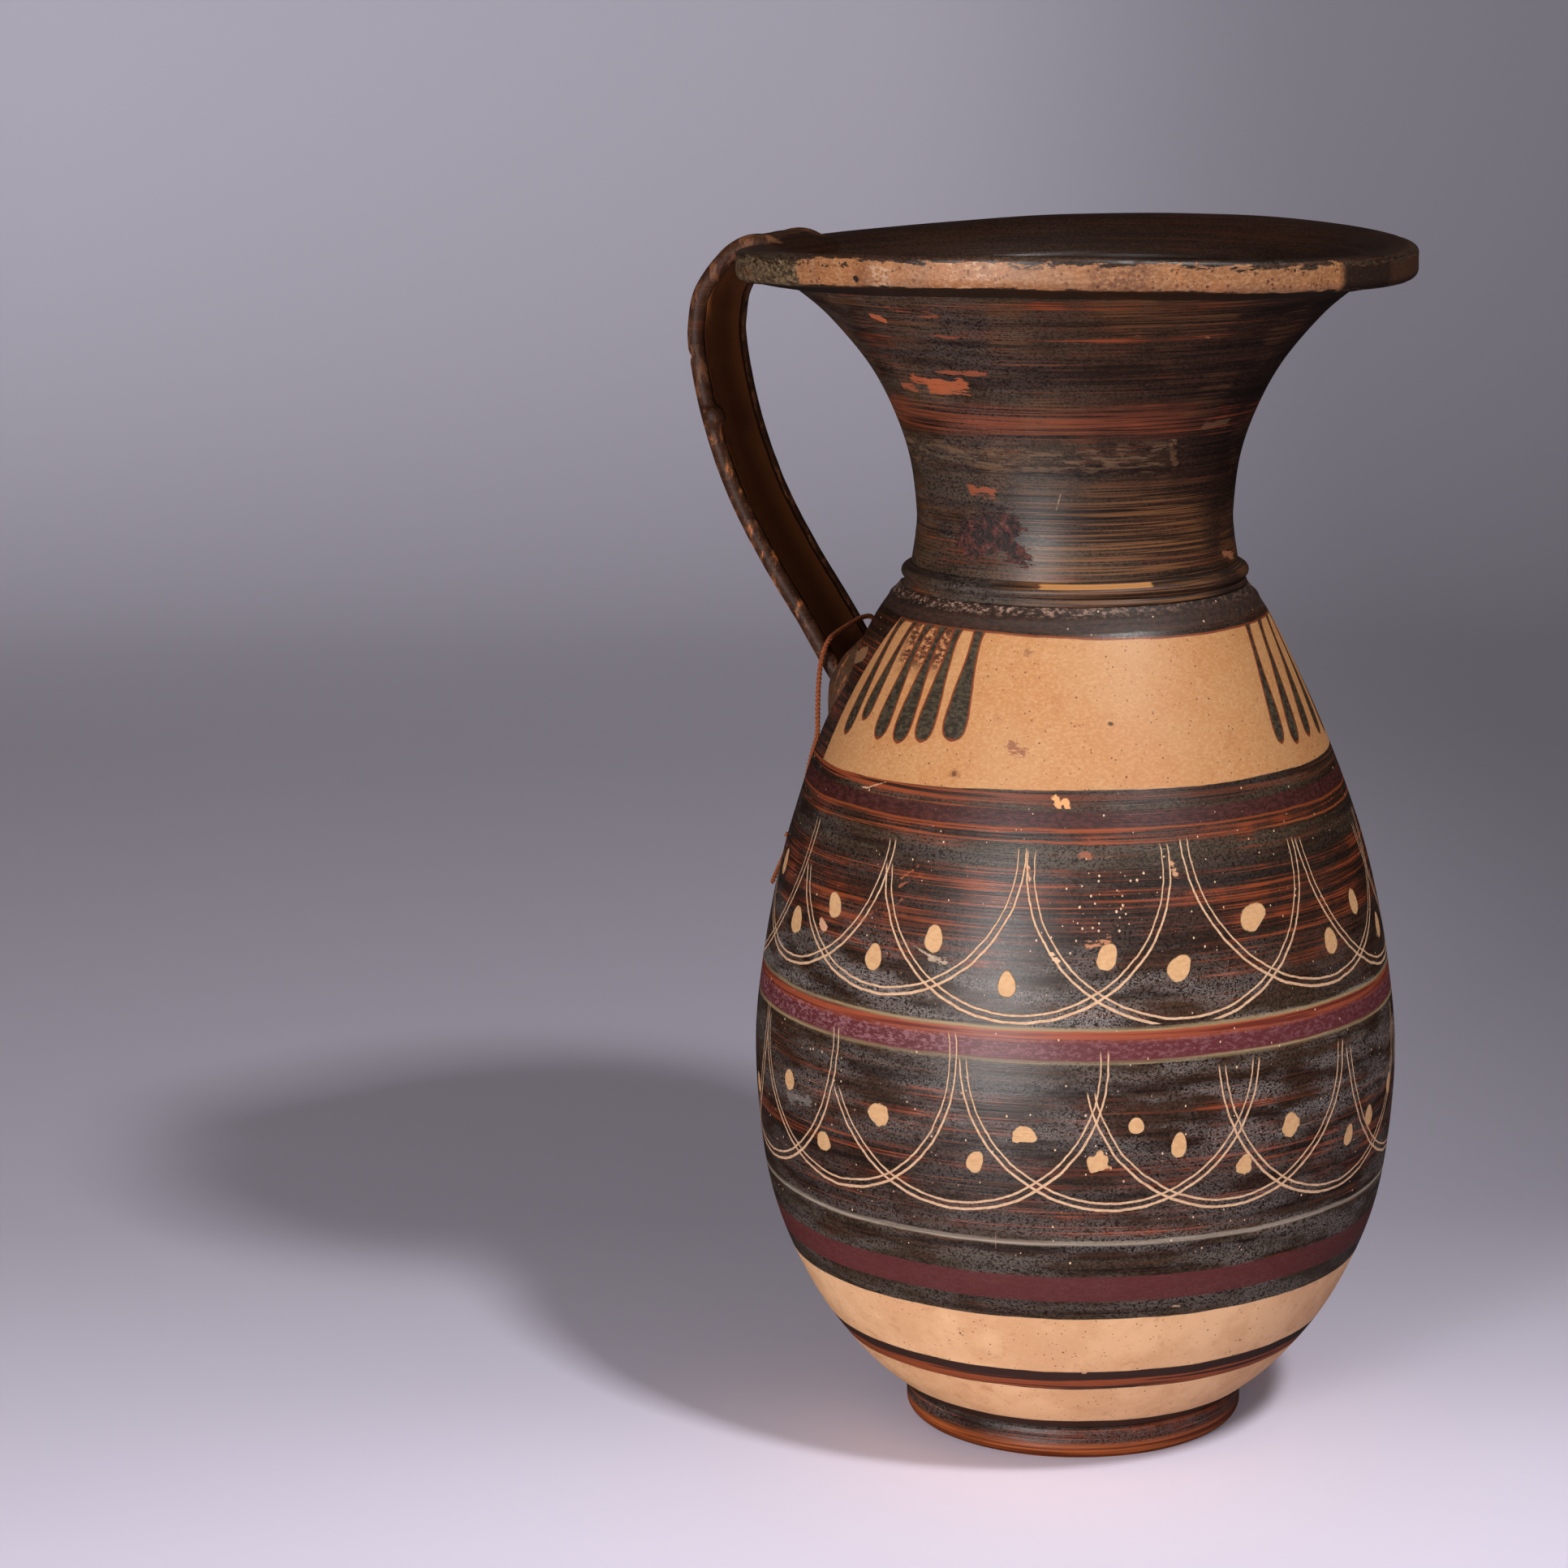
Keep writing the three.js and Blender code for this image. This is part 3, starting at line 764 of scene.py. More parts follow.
def arc_row(name, start, arcs):
    """arcs: (turn, height, radius, top of the left branch, top of the right branch)."""
    count = len(arcs)
    width = 360 / count
    tree, r, given, made = mixture(name, {"Place": (0, 0, 0), "Turn": 0.0, "Height": 0.0}, {"Line": "Float"})
    slot = r.math("FLOOR", r.math("DIVIDE", r.minus(given["Turn"], start), width))
    tremble = r.minus(r.noise(given["Place"], 0.16, 4.0, 0.62), 0.5)
    lines = []
    for near in (-1.0, 0.0, 1.0):
        here = r.plus(slot, near)
        shift, height, radius = lookup(r, here, count, [
            ((a[0] - start - (k + 0.5) * width) / 60 + 0.5, a[1] / 200, a[2] / 100) for k, a in enumerate(arcs)
        ])[:3]
        left, right, out = lookup(r, here, count, [
            (a[3] / 200, a[4] / 200, outline_at(BODY_LINE, a[1])[0] / 100) for a in arcs
        ])[:3]
        turn = turn_in_row(r, here, width, shift)
        turn = r.math("RADIANS", r.plus(turn, start))
        level = r.times(height, 200.0)
        centre = r.put("ShaderNodeCombineXYZ", {
            0: r.times(r.math("COSINE", turn), r.times(out, 100.0)),
            1: r.times(r.math("SINE", turn), r.times(out, 100.0)),
            2: level,
        })
        gap = r.plus(r.vector("DISTANCE", given["Place"], centre, out=1), tremble)
        gap = r.minus(gap, r.times(radius, 100.0))
        past = r.math("SINE", r.minus(r.math("RADIANS", given["Turn"]), turn))
        rightwards = r.math("GREATER_THAN", past, 0.0)
        top = r.times(r.mixed(rightwards, left, right), 200.0)
        below = r.step(r.minus(top, given["Height"]), -0.2, 1.6)
        lowness = r.spread(r.minus(level, given["Height"]), -4.0, 32.0, 0.17, 0.33)
        outer = r.step(r.minus(lowness, r.absolute(gap)), -0.08, 0.08)
        inner = r.step(
            r.minus(r.times(lowness, 0.8), r.absolute(r.plus(gap, 1.7))), -0.08, 0.08
        )
        lines.append(r.times(r.most(outer, inner), below))
    r.feed(made["Line"], r.most(r.most(lines[0], lines[1]), lines[2]))
    return tree


# %% Mixture: a row of scraped dots
def dot_row(name, start, dots):
    """dots: (turn, height, width, tallness, lean in degrees, how lobed it is)."""
    count = len(dots)
    width = 360 / count
    tree, r, given, made = mixture(
        name, {"Place": (0, 0, 0), "Turn": 0.0, "Height": 0.0, "Out": 80.0}, {"Dot": "Float"}
    )
    slot = r.math("FLOOR", r.math("DIVIDE", r.minus(given["Turn"], start), width))
    ragged = r.minus(r.noise(given["Place"], 0.32, 2.0), 0.5)
    masks = []
    for near in (-1.0, 0.0, 1.0):
        here = r.plus(slot, near)
        shift, height, lean = lookup(r, here, count, [
            ((d[0] - start - (k + 0.5) * width) / 60 + 0.5, d[1] / 200, d[4] / 180 + 0.5)
            for k, d in enumerate(dots)
        ])[:3]
        wide, tall, lobed = lookup(r, here, count, [(d[2] / 20, d[3] / 20, d[5]) for d in dots])[:3]
        turn = turn_in_row(r, here, width, shift)
        across = r.minus(r.minus(given["Turn"], start), turn)
        across = r.times(r.math("RADIANS", r.math("WRAP", across, 180.0, -180.0)), given["Out"])
        up = r.minus(given["Height"], r.times(height, 200.0))
        tilt = r.math("RADIANS", r.times(r.minus(lean, 0.5), 180.0))
        cosine, sine = r.math("COSINE", tilt), r.math("SINE", tilt)
        u = r.plus(r.times(across, cosine), r.times(up, sine))
        v = r.minus(r.times(up, cosine), r.times(across, sine))
        # A drop is narrower at its top than at its foot
        narrow = r.plus(1.0, r.times(r.math("DIVIDE", v, tall), 0.02))
        u = r.times(r.math("DIVIDE", u, r.times(wide, 10.0)), narrow)
        v = r.math("DIVIDE", v, r.times(tall, 10.0))
        size = r.math("SQRT", r.plus(r.times(u, u), r.times(v, v)))
        size = r.plus(size, r.times(ragged, r.plus(0.35, r.times(lobed, 1.5))))
        masks.append(r.step(size, 1.06, 0.94))
    r.feed(made["Dot"], r.most(r.most(masks[0], masks[1]), masks[2]))
    return tree


# %% Number the arcs and the dots
random.seed(7)


def hand(size):
    return random.uniform(-size, size)


UPPER_ARCS = [
    (-160, 156, 36, 150, 162), (-131.1, 157.7, 31.9, 150, 162), (-104.3, 158.7, 34.0, 151.2, 162.8),
    (-77.2, 156.9, 35.4, 156.3, 163.6), (-47.2, 155.9, 35.4, 162.2, 161.1), (-14.9, 160.8, 36.8, 164.5, 161),
    (12, 158, 36, 160.6, 162),
] + [
    (12 + 27 * k + hand(1), 158 + hand(1.5), 35.5 + hand(1.2), 161 + hand(3), 162 + hand(1.5))
    for k in range(1, 7)
]
LOWER_ARCS = [
    (-137.8, 110.7, 36.1, 112, 115.8), (-112.4, 111.1, 35.2, 112, 119.4), (-87.6, 112.6, 36.8, 101.1, 116.2),
    (-60.2, 113.8, 36.8, 113.4, 111.9), (-39.1, 112, 36.2, 106.6, 111.2), (-14.7, 111.2, 37.6, 111.3, 113),
    (12.5, 108.7, 34.2, 109.1, 113),
] + [
    (12.5 + 26.2 * k + hand(1), 110.5 + hand(1.5), 36 + hand(1), 111 + hand(3), 114 + hand(2))
    for k in range(1, 8)
]
UPPER_DOTS = [
    (-158, 138, 4.6, 6.2, 0, 0), (-145.4, 147.3, 4.5, 6.5, 0, 0),
    (-130.5, 136.9, 5.6, 6.6, 0, 0.1), (-117.9, 143.7, 4.6, 6.2, 25, 0.1),
    (-105.6, 133.9, 4.6, 6.4, -10, 0), (-93.1, 140.5, 4.4, 6.6, -4, 0.1),
    (-78.8, 131.3, 4.1, 6.1, 0, 0), (-61, 138.1, 4.6, 6.4, -20, 0.05),
    (-48, 134.8, 5.2, 6.8, -42, 0), (-32, 144.6, 5.5, 8.0, -62, 0.05),
    (-13, 135, 4.9, 6.5, 8, 0), (-1.9, 141.6, 4.5, 6.5, 6, 0),
    (11, 132, 5, 6.3, -6, 0),
] + [
    (11 + 13.9 * k + hand(2), (139 if k % 2 else 135) + hand(4), 4.7 + hand(0.5), 6.3 + hand(0.4), hand(12), 0.05)
    for k in range(1, 14)
]
LOWER_DOTS = [
    (-160, 97, 4.6, 5.4, 0, 0), (-145.3, 90.3, 4.5, 5.3, 0, 0),
    (-126.4, 98, 5.2, 5.2, 20, 0.2), (-115.9, 85.7, 5.2, 4.9, 0, 0.1),
    (-102.1, 96.5, 6, 5.3, -30, 0.35), (-83.7, 88.3, 3.9, 5.7, -30, 0.1),
    (-75.4, 95.8, 5.3, 4.6, 20, 0.6), (-62.9, 89.4, 4.8, 5, 0, 0.8),
    (-56.5, 98.1, 3.7, 3.8, 0, 0), (-49.1, 92.6, 3.7, 6.1, -6, 0),
    (-36.7, 85.7, 4, 5.4, -10, 0.6), (-27.1, 93.5, 5.2, 5.7, 15, 0.7),
    (-11.1, 86.2, 3.7, 5.4, -12, 0), (-3.6, 88.7, 4.5, 5, 0, 0.3),
] + [
    (
        -3.6 + 13.2 * k + hand(2), (95 if k % 2 else 88) + hand(3), 4.5 + hand(0.7), 5.3 + hand(0.5),
        hand(15), abs(hand(0.3)),
    )
    for k in range(1, 15)
]
ARCS = [arc_row("Upper row of arcs", -174.0, UPPER_ARCS), arc_row("Lower row of arcs", -149.0, LOWER_ARCS)]
DOTS = [dot_row("Upper row of dots", -165.0, UPPER_DOTS), dot_row("Lower row of dots", -167.0, LOWER_DOTS)]
print("arcs:", len(UPPER_ARCS), len(LOWER_ARCS), "dots:", len(UPPER_DOTS), len(LOWER_DOTS))
print("nodes in a row of arcs:", len(ARCS[0].nodes), "and of dots:", len(DOTS[0].nodes))

# %% [markdown]
# ## Tongues
#
# Groups of dark drops hang from the shoulder's dark edge. Each is one brush stroke: a thin
# stem that swells into a round bulb, black in the middle and rusty at its rim, where the slip
# is thin. The group by the handle is repeated on its other side by folding the turn over.

# %% Mixture: one tongue
TONGUE, r, given, made = mixture(
    "Tongue",
    {
        "Turn": 0.0, "Height": 0.0, "Out": 70.0, "Top turn": 0.0, "Top": 209.0, "Foot turn": 0.0,
        "Foot": 184.0, "Bulb": 2.7, "Ragged": 0.0,
    },
    {"Mask": "Float", "Middle": "Float"},
)
share = r.math("DIVIDE", r.minus(given["Top"], given["Height"]), r.minus(given["Top"], given["Foot"]))
bend = r.math("POWER", r.most(share, 0.0), 0.5)
middle = r.mixed(bend, given["Top turn"], given["Foot turn"])
across = r.times(r.math("RADIANS", r.minus(given["Turn"], middle)), given["Out"])
across = r.absolute(r.plus(across, given["Ragged"]))
swell = r.parts(r.ramp(share, [
    (0.0, (0.7,) * 3), (0.05, (0.46,) * 3), (0.15, (0.4,) * 3), (0.3, (0.46,) * 3),
    (0.5, (0.68,) * 3), (0.7, (0.92,) * 3),
    (0.84, (1.0,) * 3), (0.92, (0.9,) * 3), (0.97, (0.62,) * 3), (0.995, (0.2,) * 3), (1.0, (0.0,) * 3),
], "B_SPLINE"))[0]
half = r.minus(r.times(given["Bulb"], swell), across)
inside = r.times(r.math("GREATER_THAN", share, -0.03), r.math("LESS_THAN", share, 1.0))
r.feed(made["Mask"], r.times(r.step(half, -0.15, 0.15), inside))
r.feed(made["Middle"], r.times(r.step(half, 0.15, 0.75), r.step(share, 0.99, 0.96)))

SIDE_TONGUES = [
    (-128.6, 208.9, -133.9, 181.5, 2.6), (-120.6, 209.2, -127.3, 186.0, 2.3), (-114.6, 208.9, -119.0, 182.8, 2.8),
    (-108.6, 209.1, -111.7, 182.9, 3.0), (-102.8, 209.8, -104.8, 184, 3.0), (-95.5, 210.4, -96.5, 185.1, 3.6),
]
FAR_TONGUES = [
    (-5.1, 208.3, -12, 181.4, 2.3), (4, 207.9, -5.6, 180.3, 2.5), (13.7, 207.7, 2.1, 180.7, 2.5),
    (22.5, 207.9, 10.8, 179.6, 2.5), (31.5, 208.4, 18.7, 178.4, 2.4), (40, 208.6, 27, 180.5, 2.4),
]
print("tongues:", 2 * len(SIDE_TONGUES) + len(FAR_TONGUES))

# %% [markdown]
# ## Finishing the body
#
# The body's paint is laid in the order that the painter worked: slip, reserved clay zones,
# coloured bands, then scratching. The body is one mesh with four finishes, by height, so
# that each place only works out the ornament that is near it. All four come from one
# recipe, so they meet without a seam.

# %% Start a finish
def finish(name):
    """A new material: its recipe, its shader, and the place of a point on the pot."""
    material = bpy.data.materials.new(name)
    material.use_nodes = True
    r = Recipe(material.node_tree)
    shader = material.node_tree.nodes["Principled BSDF"]
    where = r.put("ShaderNodeTexCoord", {}, 3)
    spot = r.place(POT_PLACE, {"Object": where})
    return material, r, shader, spot


def bumped(r, shader, height, strength, distance):
    r.feed(shader.inputs["Normal"], r.put(
        "ShaderNodeBump", {"Strength": strength, "Distance": 0.001 * distance, "Height": height}
    ))


def pot_point(turn, height, line=BODY_LINE):
    radius = outline_at(line, height)[0]
    return Vector((radius * math.cos(math.radians(turn)), radius * math.sin(math.radians(turn)), height))


# How thin, filmed and olive the slip is at each height
SLIP_BY_HEIGHT = [
    (0, (0.3, 0.2, 0.4)), (48, (0.02, 0.3, 0.8)), (52.5, (0.05, 0.3, 0.7)),
    (60, (0.15, 0.35, 0.7)), (66, (0.1, 0.4, 0.8)),
    (72, (0.3, 0.35, 0.3)), (80, (0.4, 0.25, 0.1)), (88, (0.48, 0.2, 0.1)),
    (94, (0.25, 0.5, 0.2)), (104, (0.3, 0.5, 0.2)),
    (112, (0.1, 0.4, 0.4)), (122, (0.1, 0.75, 0.6)), (130, (0.2, 0.75, 0.2)),
    (137, (0.35, 0.35, 0.1)), (143, (0.52, 0.1, 0.0)),
    (150, (0.58, 0.1, 0.0)), (156, (0.5, 0.12, 0.1)), (159, (0.15, 0.2, 0.8)),
    (162.5, (0.15, 0.2, 0.8)), (164, (0.52, 0.1, 0.1)), (166, (0.52, 0.1, 0.0)),
    (171, (0.2, 0.15, 0.6)), (173, (0.15, 0.15, 0.6)), (175, (0.4, 0.1, 0.1)),
    (205, (0.25, 0.1, 0.0)), (216, (0.12, 0.05, 0.0)),
]

# Marks that time left: turn and height of both ends, half width, raggedness, strength, colour
CREAM = shade(226, 184, 144)
BODY_MARKS = {
    "Shoulder": [
        (-81.2, 185.2, -79.0, 184.0, 1.1, 8.0, 0.75, shade(128, 70, 48)),
        (-94.1, 178.2, -94.0, 178.0, 0.55, 1.5, 0.95, shade(52, 28, 14)),
        (-94.1, 178.2, -93.6, 178.0, 1.2, 6.0, 0.5, shade(136, 82, 40)),
        (-85.8, 191.2, -85.2, 191.0, 0.9, 5.0, 0.35, shade(150, 92, 52)),
        (-58.5, 190.5, -58.3, 190.4, 0.5, 1.5, 0.95, shade(80, 46, 22)),
        (-80.6, 206.6, -79.4, 206.2, 0.6, 7.0, 0.5, shade(110, 64, 36)),
        (-118.0, 171.4, -111.8, 174.0, 0.2, 0.6, 0.85, shade(206, 156, 118)),
        (-118.3, 171.4, -117.0, 171.6, 0.6, 3.0, 0.85, shade(206, 156, 118)),
        (-70.8, 174.0, -70.1, 172.4, 0.9, 2.5, 0.95, shade(222, 158, 100)),
        (-69.0, 173.1, -68.4, 171.8, 0.8, 2.5, 0.95, shade(222, 158, 100)),
    ],
    "Upper row": [
        (-121.0, 138.6, -119.8, 137.8, 1.1, 2.0, 0.95, shade(206, 152, 118)),
        (-97.2, 138.2, -93.0, 136.0, 0.2, 2.0, 0.8, shade(184, 158, 132)),
        (-93.4, 136.0, -90.4, 135.2, 0.5, 4.0, 0.8, shade(184, 158, 132)),
        (-71.0, 138.6, -69.8, 137.4, 0.4, 4.0, 0.9, CREAM),
        (-64.6, 140.6, -60.8, 141.8, 0.5, 6.0, 0.8, shade(190, 124, 84)),
        (-65.4, 161.4, -64.2, 161.0, 0.75, 5.0, 0.8, shade(150, 86, 58)),
        (-47.9, 158.8, -47.2, 155.6, 0.25, 5.0, 0.85, shade(206, 150, 112)),
        (-75.9, 158.6, -75.4, 155.2, 0.2, 4.0, 0.8, shade(214, 160, 120)),
        (-48.2, 162.1, -19.9, 157.4, 0.06, 0.3, 0.55, shade(150, 132, 104)),
        (-61.2, 160.6, -48.2, 162.1, 0.06, 0.3, 0.5, shade(150, 132, 104)),
        (-103.4, 151.6, -98.4, 156.6, 0.12, 3.0, 0.7, shade(160, 84, 50)),
        (-102.2, 151.2, -97.6, 154.6, 0.12, 3.0, 0.7, shade(160, 84, 50)),
        (-110.0, 141.6, -106.0, 145.4, 0.3, 6.0, 0.6, shade(150, 82, 52)),
        (-104.0, 144.0, -101.0, 148.4, 0.1, 3.0, 0.6, shade(150, 82, 52)),
        (-88.0, 158.6, -87.6, 155.0, 0.08, 1.5, 0.6, shade(150, 96, 60)),
    ],
    "Lower row": [
        (-80.4, 70.7, -80.8, 57.2, 0.07, 0.3, 0.7, shade(170, 140, 112)),
        (-127.0, 93.4, -120.0, 94.6, 1.0, 9.0, 0.4, shade(150, 138, 130)),
        (-52.0, 77.0, -44.0, 78.6, 0.07, 0.3, 0.6, shade(170, 140, 112)),
    ],
    "Lower body": [
        (-65.2, 31.9, -64.4, 30.9, 0.45, 3.0, 0.9, shade(206, 156, 118)),
        (-48.0, 50.2, -46.8, 49.8, 0.3, 3.0, 0.8, shade(190, 150, 120)),
        (-90.0, 40.4, -89.6, 40.2, 0.3, 1.5, 0.8, shade(110, 66, 36)),
        (-30.0, 36.0, -29.7, 35.8, 0.35, 1.5, 0.8, shade(110, 66, 36)),
    ],
}


# %% Paint a zone of the body
def body_finish(name, row=None, tongues=False, lower=False):
    material, r, shader, spot = finish(name)
    place, turn, out = spot["Place"], spot["Turn"], spot["Out"]
    wander = r.minus(r.noise(place, 0.035, 4.0, 0.62), 0.5)
    height = r.plus(spot["Height"], r.times(wander, 1.5))

    def band(low, high, edge=0.2):
        return r.place(BAND, {"Height": height, "Low": low, "High": high, "Edge": edge})["Mask"]

    coat = r.parts(r.ramp(r.math("DIVIDE", height, 216.0), [(z / 216, v) for z, v in SLIP_BY_HEIGHT]))
    # Lime thins out to the right in the upper row, and thickens there in the lower one
    sector = r.spread(turn, -60.0, -20.0, 1.1, 0.25) if row == 0 else r.spread(turn, -70.0, -25.0, 0.9, 1.5)
    slip = r.place(SLIP, {"Place": place, "Thin": coat[0], "Film": r.times(coat[1], sector), "Olive": coat[2]})
    # The shoulder's clay is tinted darker than the lower body's: partly its own tone, partly painted shade on the
    # upward-facing shoulder
    clay = r.place(CLAY, {"Place": place, "Tint": shade(232, 182, 134) if lower else shade(184, 131, 82)})
    colour, rough, bump = slip["Colour"], slip["Roughness"], slip["Height"]
    speckle = r.noise(r.stretched(place, 0.6, 0.6, 1.2), 1.0, 4.0, 0.75)
    ragged = r.minus(speckle, 0.5)
    worn = r.step(speckle, 0.42, 0.6)
    streak = r.noise(r.stretched(place, 0.02, 0.02, 1.3), 1.0, 3.0, 0.6)

    def paint(mask, tint, gloss=None):
        nonlocal colour, rough
        colour = r.mix(mask, colour, tint)
        if gloss is not None:
            rough = r.mixed(mask, rough, gloss)

    def purple(low, high, tint):
        film = r.mix(r.times(worn, 0.35), tint, shade(112, 56, 52))
        paint(r.times(band(low, high), 0.88), film, 0.45)

    clay_mask = None
    if tongues or row == 0:
        purple(167.2, 170.9, shade(50, 14, 11))
        leftwards = r.step(turn, -55.0, -110.0)
        rusty = r.mix(r.step(streak, 0.44, 0.56), shade(46, 25, 17), shade(138, 64, 33))
        paint(r.times(band(172.4, 174.6, 0.4), r.spread(leftwards, 0.0, 1.0, 0.25, 1.0)), rusty, 0.42)
    if tongues:
        # The reserved clay stops short of the handle, at a curved edge on both sides
        fold = r.times(r.absolute(turn), -1)
        side = r.math("POWER", r.spread(height, 173.8, 209.9, 0.0, 1.0), 2.6)
        clear = r.step(r.minus(fold, r.plus(r.times(side, 10.4), -141.7)), -0.25, 0.25)
        low = r.spread(turn, -125.0, -70.0, 174.1, 175.7)
        high = r.spread(turn, -95.0, -25.0, 210.3, 208.8)
        clay_mask = r.times(band(low, high, 0.14), clear)
        # A light spur beyond the edge, where the brush lifted
        spur = scratch(r, place, pot_point(-158, 195.0), pot_point(-145.5, 199.5), 2.0, r.times(ragged, 2.0))
        paint(r.times(spur, 0.75), shade(158, 114, 78), 0.5)
        paint(clay_mask, clay["Colour"])
        rough, bump = r.mixed(clay_mask, rough, clay["Roughness"]), r.mixed(clay_mask, bump, clay["Height"])
        edge = r.place(BAND, {"Height": r.minus(height, high), "Low": -0.3, "High": 0.2, "Edge": 0.14})["Mask"]
        paint(r.times(edge, clear), shade(120, 58, 30))
        drops, cores = [], []
        for group, angle in ((SIDE_TONGUES, fold), (FAR_TONGUES, turn)):
            for top_turn, top, foot_turn, foot_height, bulb in group:
                drop = r.place(TONGUE, {
                    "Turn": angle, "Height": spot["Height"], "Out": out, "Top turn": top_turn, "Top": top + 1.2,
                    "Foot turn": foot_turn, "Foot": foot_height, "Bulb": bulb, "Ragged": r.times(wander, 1.2),
                })
                drops.append(drop["Mask"])
                cores.append(drop["Middle"])
        while len(drops) > 1:
            drops.append(r.most(drops.pop(0), drops.pop(0)))
            cores.append(r.most(cores.pop(0), cores.pop(0)))
        dull = r.mix(worn, shade(42, 34, 25), shade(76, 65, 48))
        rim = r.mix(cores[0], shade(126, 54, 24), dull)
        # The paint has flaked between the stems of the side group
        flaked = r.times(r.step(r.absolute(r.plus(fold, 112.5)), 11.5, 7.5), r.step(spot["Height"], 197.0, 203.0))
        flaked = r.times(r.times(flaked, clay_mask), r.step(speckle, 0.4, 0.5))
        paint(r.times(flaked, 0.92), r.mix(r.step(speckle, 0.46, 0.54), shade(150, 76, 44), shade(54, 28, 22)))
        paint(r.times(drops[0], clay_mask), rim, 0.45)
        # Pinkish lime along the ridge under the flat top, which fades to the right
        paint(r.times(band(210.6, 217.0), 0.6), r.mix(worn, shade(34, 18, 10), shade(66, 40, 26)), 0.75)
        lime = r.times(band(214.2, 216.4, 0.6), r.step(speckle, 0.5, 0.62))
        lime = r.times(lime, r.spread(turn, -90.0, -30.0, 0.75, 0.2))
        paint(lime, shade(172, 138, 120), 0.6)
    if row is not None:
        line = r.place(ARCS[row], {"Place": place, "Turn": turn, "Height": spot["Height"]})["Line"]
        dots = r.place(DOTS[row], {"Place": place, "Turn": turn, "Height": spot["Height"], "Out": out})["Dot"]
        if row == 0:
            paint(r.times(band(166.6, 167.1, 0.2), 0.7), shade(150, 70, 32))
            paint(r.times(band(163.7, 164.2, 0.2), r.step(streak, 0.42, 0.54)), shade(140, 68, 34))
        else:
            # The band between the rows: rusty above, purple below, with a pale line on both sides
            rusty = r.mix(r.step(streak, 0.44, 0.56), shade(104, 38, 24), shade(150, 70, 42))
            paint(band(113.6, 120.9), r.mix(r.step(height, 117.6, 119.0), shade(92, 36, 40), rusty), 0.45)
            haze = r.times(r.step(speckle, 0.46, 0.62), r.spread(turn, -60.0, -100.0, 0.3, 0.6))
            paint(r.times(band(114.2, 118.8, 0.5), haze), shade(160, 112, 116), 0.6)
            for low, high in ((120.7, 121.5), (113.0, 113.8)):
                broken = r.times(band(low, high, 0.35), r.spread(streak, 0.4, 0.6, 0.3, 0.9))
                paint(broken, shade(162, 138, 98), 0.55)
        paint(line, r.mix(r.times(worn, 0.5), shade(214, 174, 138), shade(176, 124, 86)), 0.6)
        paint(dots, r.mix(r.times(worn, 0.45), shade(208, 162, 114), shade(184, 134, 88)), 0.6)
        bump = r.minus(bump, r.times(r.most(line, dots), 1.5))
    if row == 1 or lower:
        pale = r.times(band(67.9, 69.0, 0.4), r.spread(streak, 0.4, 0.6, 0.4, 0.9))
        paint(pale, shade(170, 154, 134), 0.6)
        purple(52.8, 59.6, shade(92, 36, 36))
    if lower:
        clay_mask = r.most(band(31.1, 47.6, 0.16), band(12.2, 25.2, 0.16))
        paint(band(8, 32.4, 0.2), shade(60, 38, 32))
        rusty = r.times(band(25.2, 28.3), r.step(streak, 0.42, 0.54))
        paint(rusty, shade(146, 70, 36))
        paint(clay_mask, clay["Colour"])
        rough, bump = r.mixed(clay_mask, rough, clay["Roughness"]), r.mixed(clay_mask, bump, clay["Height"])
    if not lower:
        # Small flecks all over the dark zones, and a swarm of them high on the front
        cells = r.put("ShaderNodeTexVoronoi", {"Vector": r.stretched(place, 0.9, 0.9, 0.7), "Scale": 1.0})
        luck = r.parts(cells.node.outputs[1])
        swarm = r.step(r.absolute(r.plus(turn, 60)), 14.0, 5.0)
        swarm = r.times(swarm, r.step(r.absolute(r.minus(height, 150)), 13.0, 5.0))
        size = r.times(r.math("POWER", luck[0], r.mixed(swarm, 12.0, 1.1)), r.mixed(swarm, 0.24, 0.29))
        fleck = r.step(r.minus(cells, size), 0.03, -0.04)
        if clay_mask:
            fleck = r.times(fleck, r.minus(1.0, clay_mask))
        paint(r.times(fleck, 0.85), shade(226, 188, 152), 0.6)
    for turn_from, low, turn_to, high, width, spread, strength, tint in BODY_MARKS[name]:
        start, end = pot_point(turn_from, low), pot_point(turn_to, high)
        mark = scratch(r, place, start, end, width, r.times(ragged, spread))
        paint(r.times(mark, strength), tint, 0.6)
    r.feed(shader.inputs["Base Color"], colour)
    r.feed(shader.inputs["Roughness"], rough)
    bumped(r, shader, bump, 0.5, 0.22)
    print(f"{name}: {len(material.node_tree.nodes)} nodes of its own")
    return material


# %% Give the body its four finishes
ZONES = [
    (-1.0, body_finish("Lower body", lower=True)), (62.0, body_finish("Lower row", row=1)),
    (121.9, body_finish("Upper row", row=0)), (170.9, body_finish("Shoulder", tongues=True)),
]
for _, material in ZONES:
    body.data.materials.append(material)
for face in body.data.polygons:
    level = 1000 * face.center.z
    face.material_index = sum(level > low for low, _ in ZONES) - 1
print("faces in each zone:", [sum(f.material_index == k for f in body.data.polygons) for k in range(4)])

# %% [markdown]
# ## Finishing the neck, the foot and the lip
#
# The neck is all slip, with an orange-red streaked belt a little over half-way up and a few
# worn patches. The foot was left thin, so it is mostly rusty. The lip's upright face is bare
# clay between dark margins, and is dark beside the handle, where the brush stopped.

